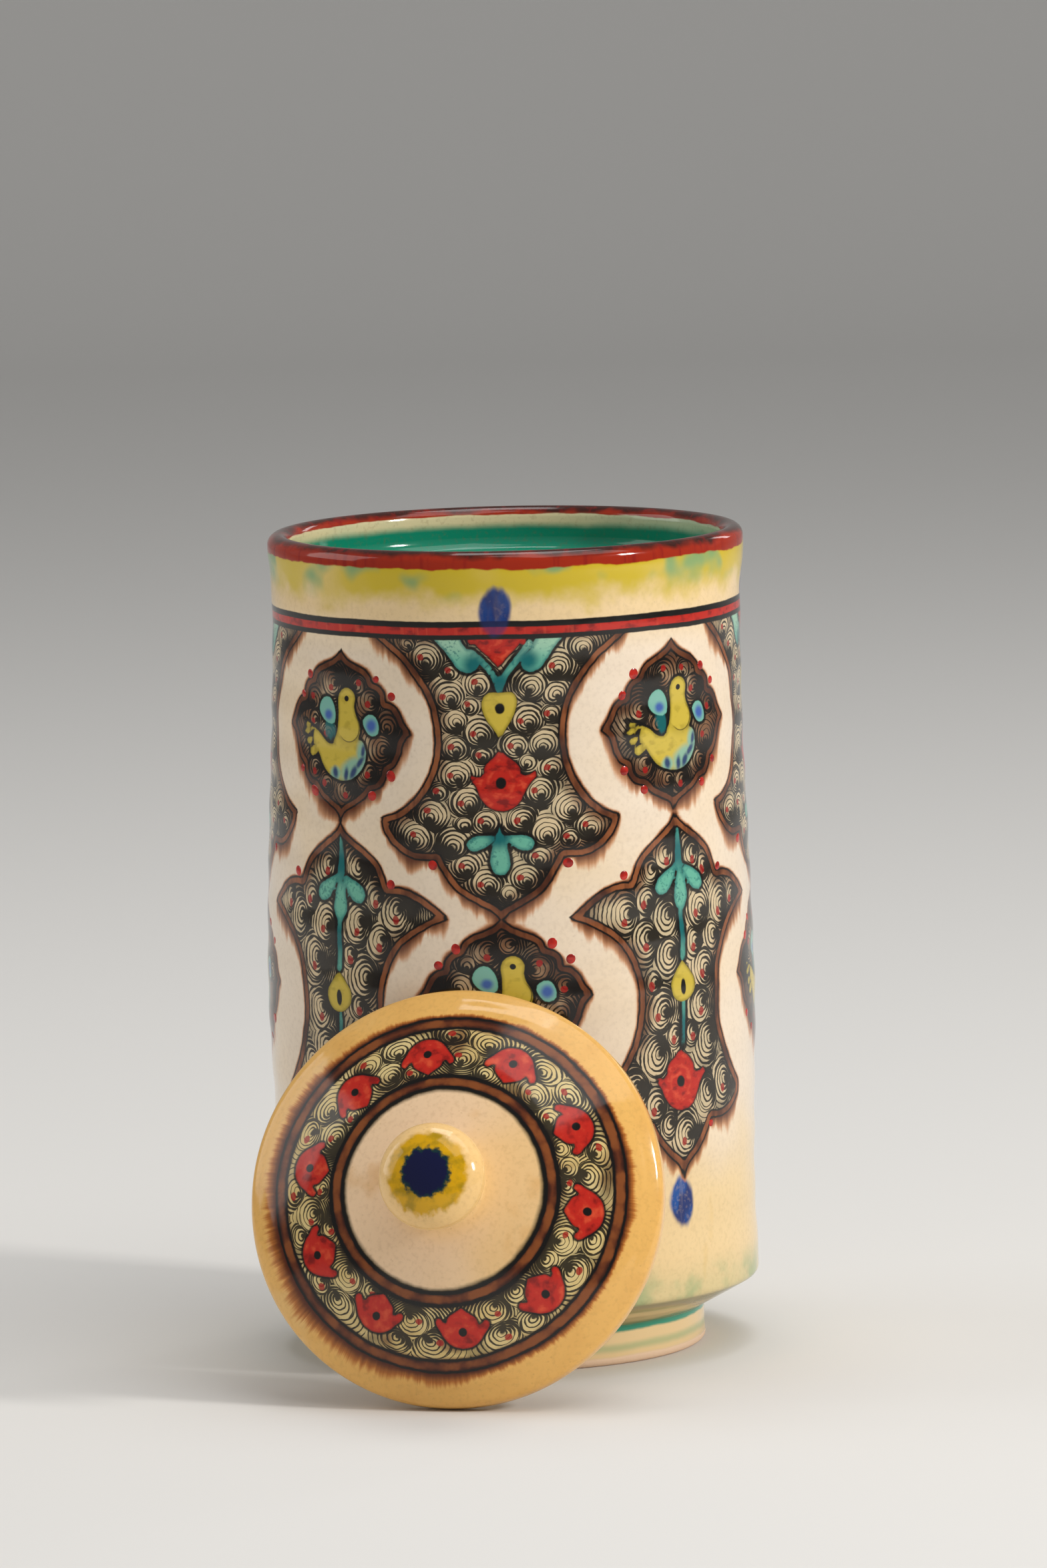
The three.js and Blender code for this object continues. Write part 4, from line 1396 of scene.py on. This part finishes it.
def lidFinish(colours, b):
    p = Paint("lidGlaze", colours)
    place = p.place()
    own = p.attribute("lidPlace", "Vector")
    x, y, z = p.split(own)
    fine = p.noise(place, 900.0, 3.0)
    soft = p.noise(place, 110.0, 3.0)
    broad = p.noise(place, 30.0)
    shake = p.waver(0.45, place, 480.0)
    slow = p.waver(1.1, place, 44.0, 1.0)
    flat = p.far(x, y)
    reach = flat + (shake + slow)

    # plain glaze: rosy in the middle, ochre on the border
    plain = p.coats(
        "plain", (p.ramp(broad + x * 0.012, 0.3, 0.8), "plainOchre"),
        (p.ramp(p.noise(place, 75.0, 3.0), 0.57, 0.72) * 0.4, "borderDeep"))
    border = p.coats(
        "border", (p.ramp(soft, 0.45, 0.75, 0.0, 0.35), "borderDeep"),
        (p.ramp(p.noise(place, 60.0, 3.0), 0.56, 0.72, 0.0, 0.4), "borderPale"))
    colour = p.coats(
        plain, (p.above(reach, b["border"], 1.0), border), (p.above(z, b["knobFoot"], 1.2) * 0.85, "knob"))
    colour = ironSpecks(p, place, colour, 0.68, 0.16, fine, 0.45, 0.14)

    # brown that ran outwards over the border, furthest at the bottom and the left
    away = p.vector("NORMALIZE", p.pack(x, y, 0))
    rays = p.noise(away, 34.0, 4.0, 0.65)
    slowRays = p.noise(away, 3.2, 1.0)
    length = p.ramp(y, 36.0, -40.0, 1.3, 3.6) + p.ramp(x, -8.0, -44.0, 0.0, 1.7)
    length = length - p.ramp(x - y, 46.0, 60.0, 0.0, 1.9)
    length = length * (p.ramp(rays, 0.3, 0.7, 0.72, 1.25) * p.ramp(slowRays, 0.3, 0.7, 0.85, 1.15))
    beyond = reach - b["halo"]
    halo = p.ramp(beyond / length, 0.0, 1.0, 1.0, 0.0, soft=False) * p.above(beyond, -0.4, 0.3)
    colour = p.coats(
        colour, (p.ramp(halo, 0.0, 0.5, 0.0, 0.9), "haloFaint"), (p.ramp(halo, 0.25, 0.95), "halo"))

    # the ring of ornament
    ink, dot, loopEdge = swirlInk(p, place, lidBrush)
    ground = p.mix(p.ramp(soft, 0.38, 0.62), "ground", "groundGreen")
    shade = p.most(p.ramp(reach, *b["innerShade"]), p.ramp(reach, *b["outerShade"]))
    shade = p.most(shade * 0.8, p.ramp(p.noise(place, 70.0), 0.54, 0.66, 0.0, 0.75))
    ground = p.coats(
        ground, (shade * p.ramp(soft, 0.35, 0.6, 0.4, 1.0), "groundBrown"), (loopEdge * 0.85, "olive"),
        (ink * 0.95, "ink"), (dot * 0.9, "dot"))
    colour = p.mix(p.between(reach, *b["ornament"], 0.2), colour, ground)
    red = p.attribute("red") + shake * 0.6
    colour = p.mix(p.above(red, -0.5, 0.22) * 0.95, colour, "ink")
    brush = p.noise(place, 300.0, 3.0)
    redPaint = brushedRed(p, brush, red, 0.5, 0.5, 0.6)
    colour = p.mix(p.above(red, 0.0, 0.14), colour, redPaint)
    eyeX, eyeZ, _ = p.split(p.attribute("eye", "Vector"))
    eye = p.far(eyeX, eyeZ) + shake * 0.6
    colour = p.mix(p.below(eye, 1.0, 0.16) * p.above(red, 0.2, 0.2), colour, "ink")

    # black, brown and black again on both sides of the ring
    upper = p.above(z, b["disc"], 0.2)
    patches = p.noise(place, 170.0, 3.0)
    for low, high, inner, outer in b["bands"]:
        fromMiddle = p.size(reach - (inner + outer) / 2)
        band = p.coats(
            "bandPale", (p.ramp(patches, 0.4, 0.62), "band"),
            (p.ramp(fromMiddle + (patches - 0.5) * 2.4, 0.3, 1.3), "bandDark"))
        colour = p.coats(
            colour, (p.between(reach, low, high, 0.2) * upper, "ink"),
            (p.between(reach, inner, outer, 0.18) * upper, band))
    bleedEnd = b["bleed"] - 1.5 + soft
    bleed = p.ramp(reach, b["bleed"], bleedEnd, 0.75, 0.0) * p.below(reach, b["bleed"] + 0.2, 0.1)
    colour = p.mix(bleed * upper, colour, "olive")

    # knob: a yellow ring round a navy blot with a dark green edge
    top = p.above(z, b["knobTop"], 0.5)
    knobX, knobY = x - b["knobPaint"][0], y - b["knobPaint"][1]
    knobReach = p.far(knobX, knobY)
    dripNoise = p.noise(p.vector("MULTIPLY", own, (1, 0.1, 1)), 0.55, 2.0)
    drips = p.ramp(y, -2, -9) * p.ramp(dripNoise, 0.4, 0.6, 0.0, 0.7)
    ragged = knobReach + p.waver(2.6, own, 0.45, 3.0) - drips
    yellow = p.mix(p.ramp(p.noise(own, 0.35, 3.0), 0.4, 0.7), "yellow", "yellowDeep")
    colour = p.mix(p.ramp(ragged, 10.6, 9.0) * top, colour, yellow)
    petals = p.math("COSINE", p.math("ARCTAN2", knobX, knobY) * 13.0)
    blot = knobReach - petals * 0.14 + p.waver(2.4, own, 0.8)
    colour = p.coats(
        colour, (p.ramp(blot, 6.6, 5.6) * top, "navyGreen"), (p.ramp(blot, 5.8, 5.0) * top, "navy"))

    # the plain underside, with bare clay where it sits on the ledge
    underColour = p.mix(p.ramp(soft, 0.4, 0.7), "under", "plainOchre")
    seat = p.between(flat + slow, *b["seat"], 0.3)
    underColour = p.mix(seat, underColour, "clay")
    under = p.attribute("under")
    colour = p.mix(under, colour, underColour)

    roughness = p.ramp(soft, 0.3, 0.7, 0.07, 0.13) + under * seat * 0.5
    return p.glaze(colour, roughness, p.noise(place, 160.0) * 0.5, 0.2)


def leanLid(piece, f):
    # leaned as the frame's lid is, then set on the table and up to the jar where the frame has it
    aside = Matrix.Rotation(-math.radians(f["side"]), 4, "Z")
    back = Matrix.Rotation(math.radians(90 - f["lean"]), 4, "X")
    piece.data.transform(aside @ back)
    places = np.array([vertex.co for vertex in piece.data.vertices])
    low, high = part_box("lid")
    across = (low.x + high.x) / 2 - (places[:, 0].min() + places[:, 0].max()) / 2
    forward = high.y - f["standOff"] * mm - places[:, 1].max()
    shift = (across, forward, low.z - places[:, 2].min())
    piece.data.transform(Matrix.Translation(shift))


lidGlaze = lidFinish(lidColours, lidBands)
lidBody = throwForm("lidBody", lidLine(lidForm), lidThrowing, lidGlaze, formTree)
print("lid is thrown:", len(lidBody.data.polygons), "faces")
setKnobAside(lidBody, lidForm)
paintLid(lidBody, lidRules)
leanLid(lidBody, lidForm)
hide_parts("lid")
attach(lidBody, "lid")
print("lid is painted and leaned on the jar")


# Dots of thick red paint that stand a little proud of the glaze

dotForm = {"Radius": 1.15 * mm, "Vary": 0.22 * mm, "Proud": 0.16 * mm, "Seed": 5,
           "sink": 0.05, "wallFrom": 30, "wallRadius": 57}


def paintDotTree():
    tree, w, given = formTreeWith("paintDots", (
        ("Spots", "Object", None), ("Radius", "Float", 0.001), ("Vary", "Float", 0.0),
        ("Proud", "Float", 0.0002), ("Seed", "Int", 0), ("Finish", "Material", None)))
    spots = w.node("GeometryNodeObjectInfo", {"Object": given["Spots"]}, "Geometry")
    facing = w.node("GeometryNodeInputNamedAttribute", {"Name": "facing"}, data_type="FLOAT_VECTOR")
    align = w.node("FunctionNodeAlignEulerToVector", {"Vector": facing}, axis="Z")
    drop = w.node("GeometryNodeMeshUVSphere", {"Segments": 20, "Rings": 10, "Radius": 1.0}, "Mesh")
    least, most = given["Radius"] - given["Vary"], given["Radius"] + given["Vary"]
    wide = {2: least, 3: most, "Seed": given["Seed"]}
    size = w.node("FunctionNodeRandomValue", wide, 1, data_type="FLOAT")
    stretch = {2: 0.9, 3: 1.25, "Seed": given["Seed"] + 7}
    tall = w.node("FunctionNodeRandomValue", stretch, 1, data_type="FLOAT")
    scale = w.pack(size, size * tall, given["Proud"])
    dots = w.node("GeometryNodeInstanceOnPoints",
                  {"Points": spots, "Instance": drop, "Rotation": align, "Scale": scale})
    dots = w.node("GeometryNodeRealizeInstances", {"Geometry": dots})
    dots = w.node("GeometryNodeSetShadeSmooth", {"Geometry": dots})
    dots = w.node("GeometryNodeSetMaterial", {"Geometry": dots, "Material": given["Finish"]})
    w.feed(addNode(tree, "NodeGroupOutput").inputs[0], dots)
    return tree


def redPaintFinish(colours):
    p = Paint("thickRedPaint", colours)
    brush = p.noise(p.place(), 500.0, 3.0)
    p.feed(p.shader.inputs["Base Color"], p.mix(p.ramp(brush, 0.4, 0.7), "red", "redDark"))
    p.feed(p.shader.inputs["Roughness"], 0.14)
    return p.material


def onWall(places):
    # points of the thrown wall below the painted places, with the way it faces
    mesh = jarBody.data
    arc = readPoints(mesh, "turn") * sheetTurn
    height = readPoints(mesh, "outlineHeight") / mm
    radius = readPoints(mesh, "outlineRadius") / mm
    outer = np.flatnonzero((height > dotForm["wallFrom"]) & (radius > dotForm["wallRadius"]))
    spots, facing = [], []
    for x, z in places:
        gap = shortWay(arc[outer] - x, sheetTurn)
        vertex = mesh.vertices[int(outer[np.argmin(np.hypot(gap, height[outer] - z))])]
        spots.append(vertex.co - vertex.normal * dotForm["sink"] * mm)
        facing.append(vertex.normal.copy())
    return spots, facing


spots, facing = onWall(dotPlaces)
spotMesh = bpy.data.meshes.new("dotSpots")
spotMesh.from_pydata(spots, [], [])
facingRows = spotMesh.attributes.new("facing", "FLOAT_VECTOR", "POINT")
facingRows.data.foreach_set("vector", np.array(facing).ravel())
spotHolder = addObject("dotSpots", spotMesh)
dotValues = {**dotForm, "Spots": spotHolder, "Finish": redPaintFinish(jarColours)}
redDots = treePiece("redDots", paintDotTree(), dotValues)
bpy.data.objects.remove(spotHolder)
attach(redDots, "jar")
print("red dots:", len(dotPlaces))
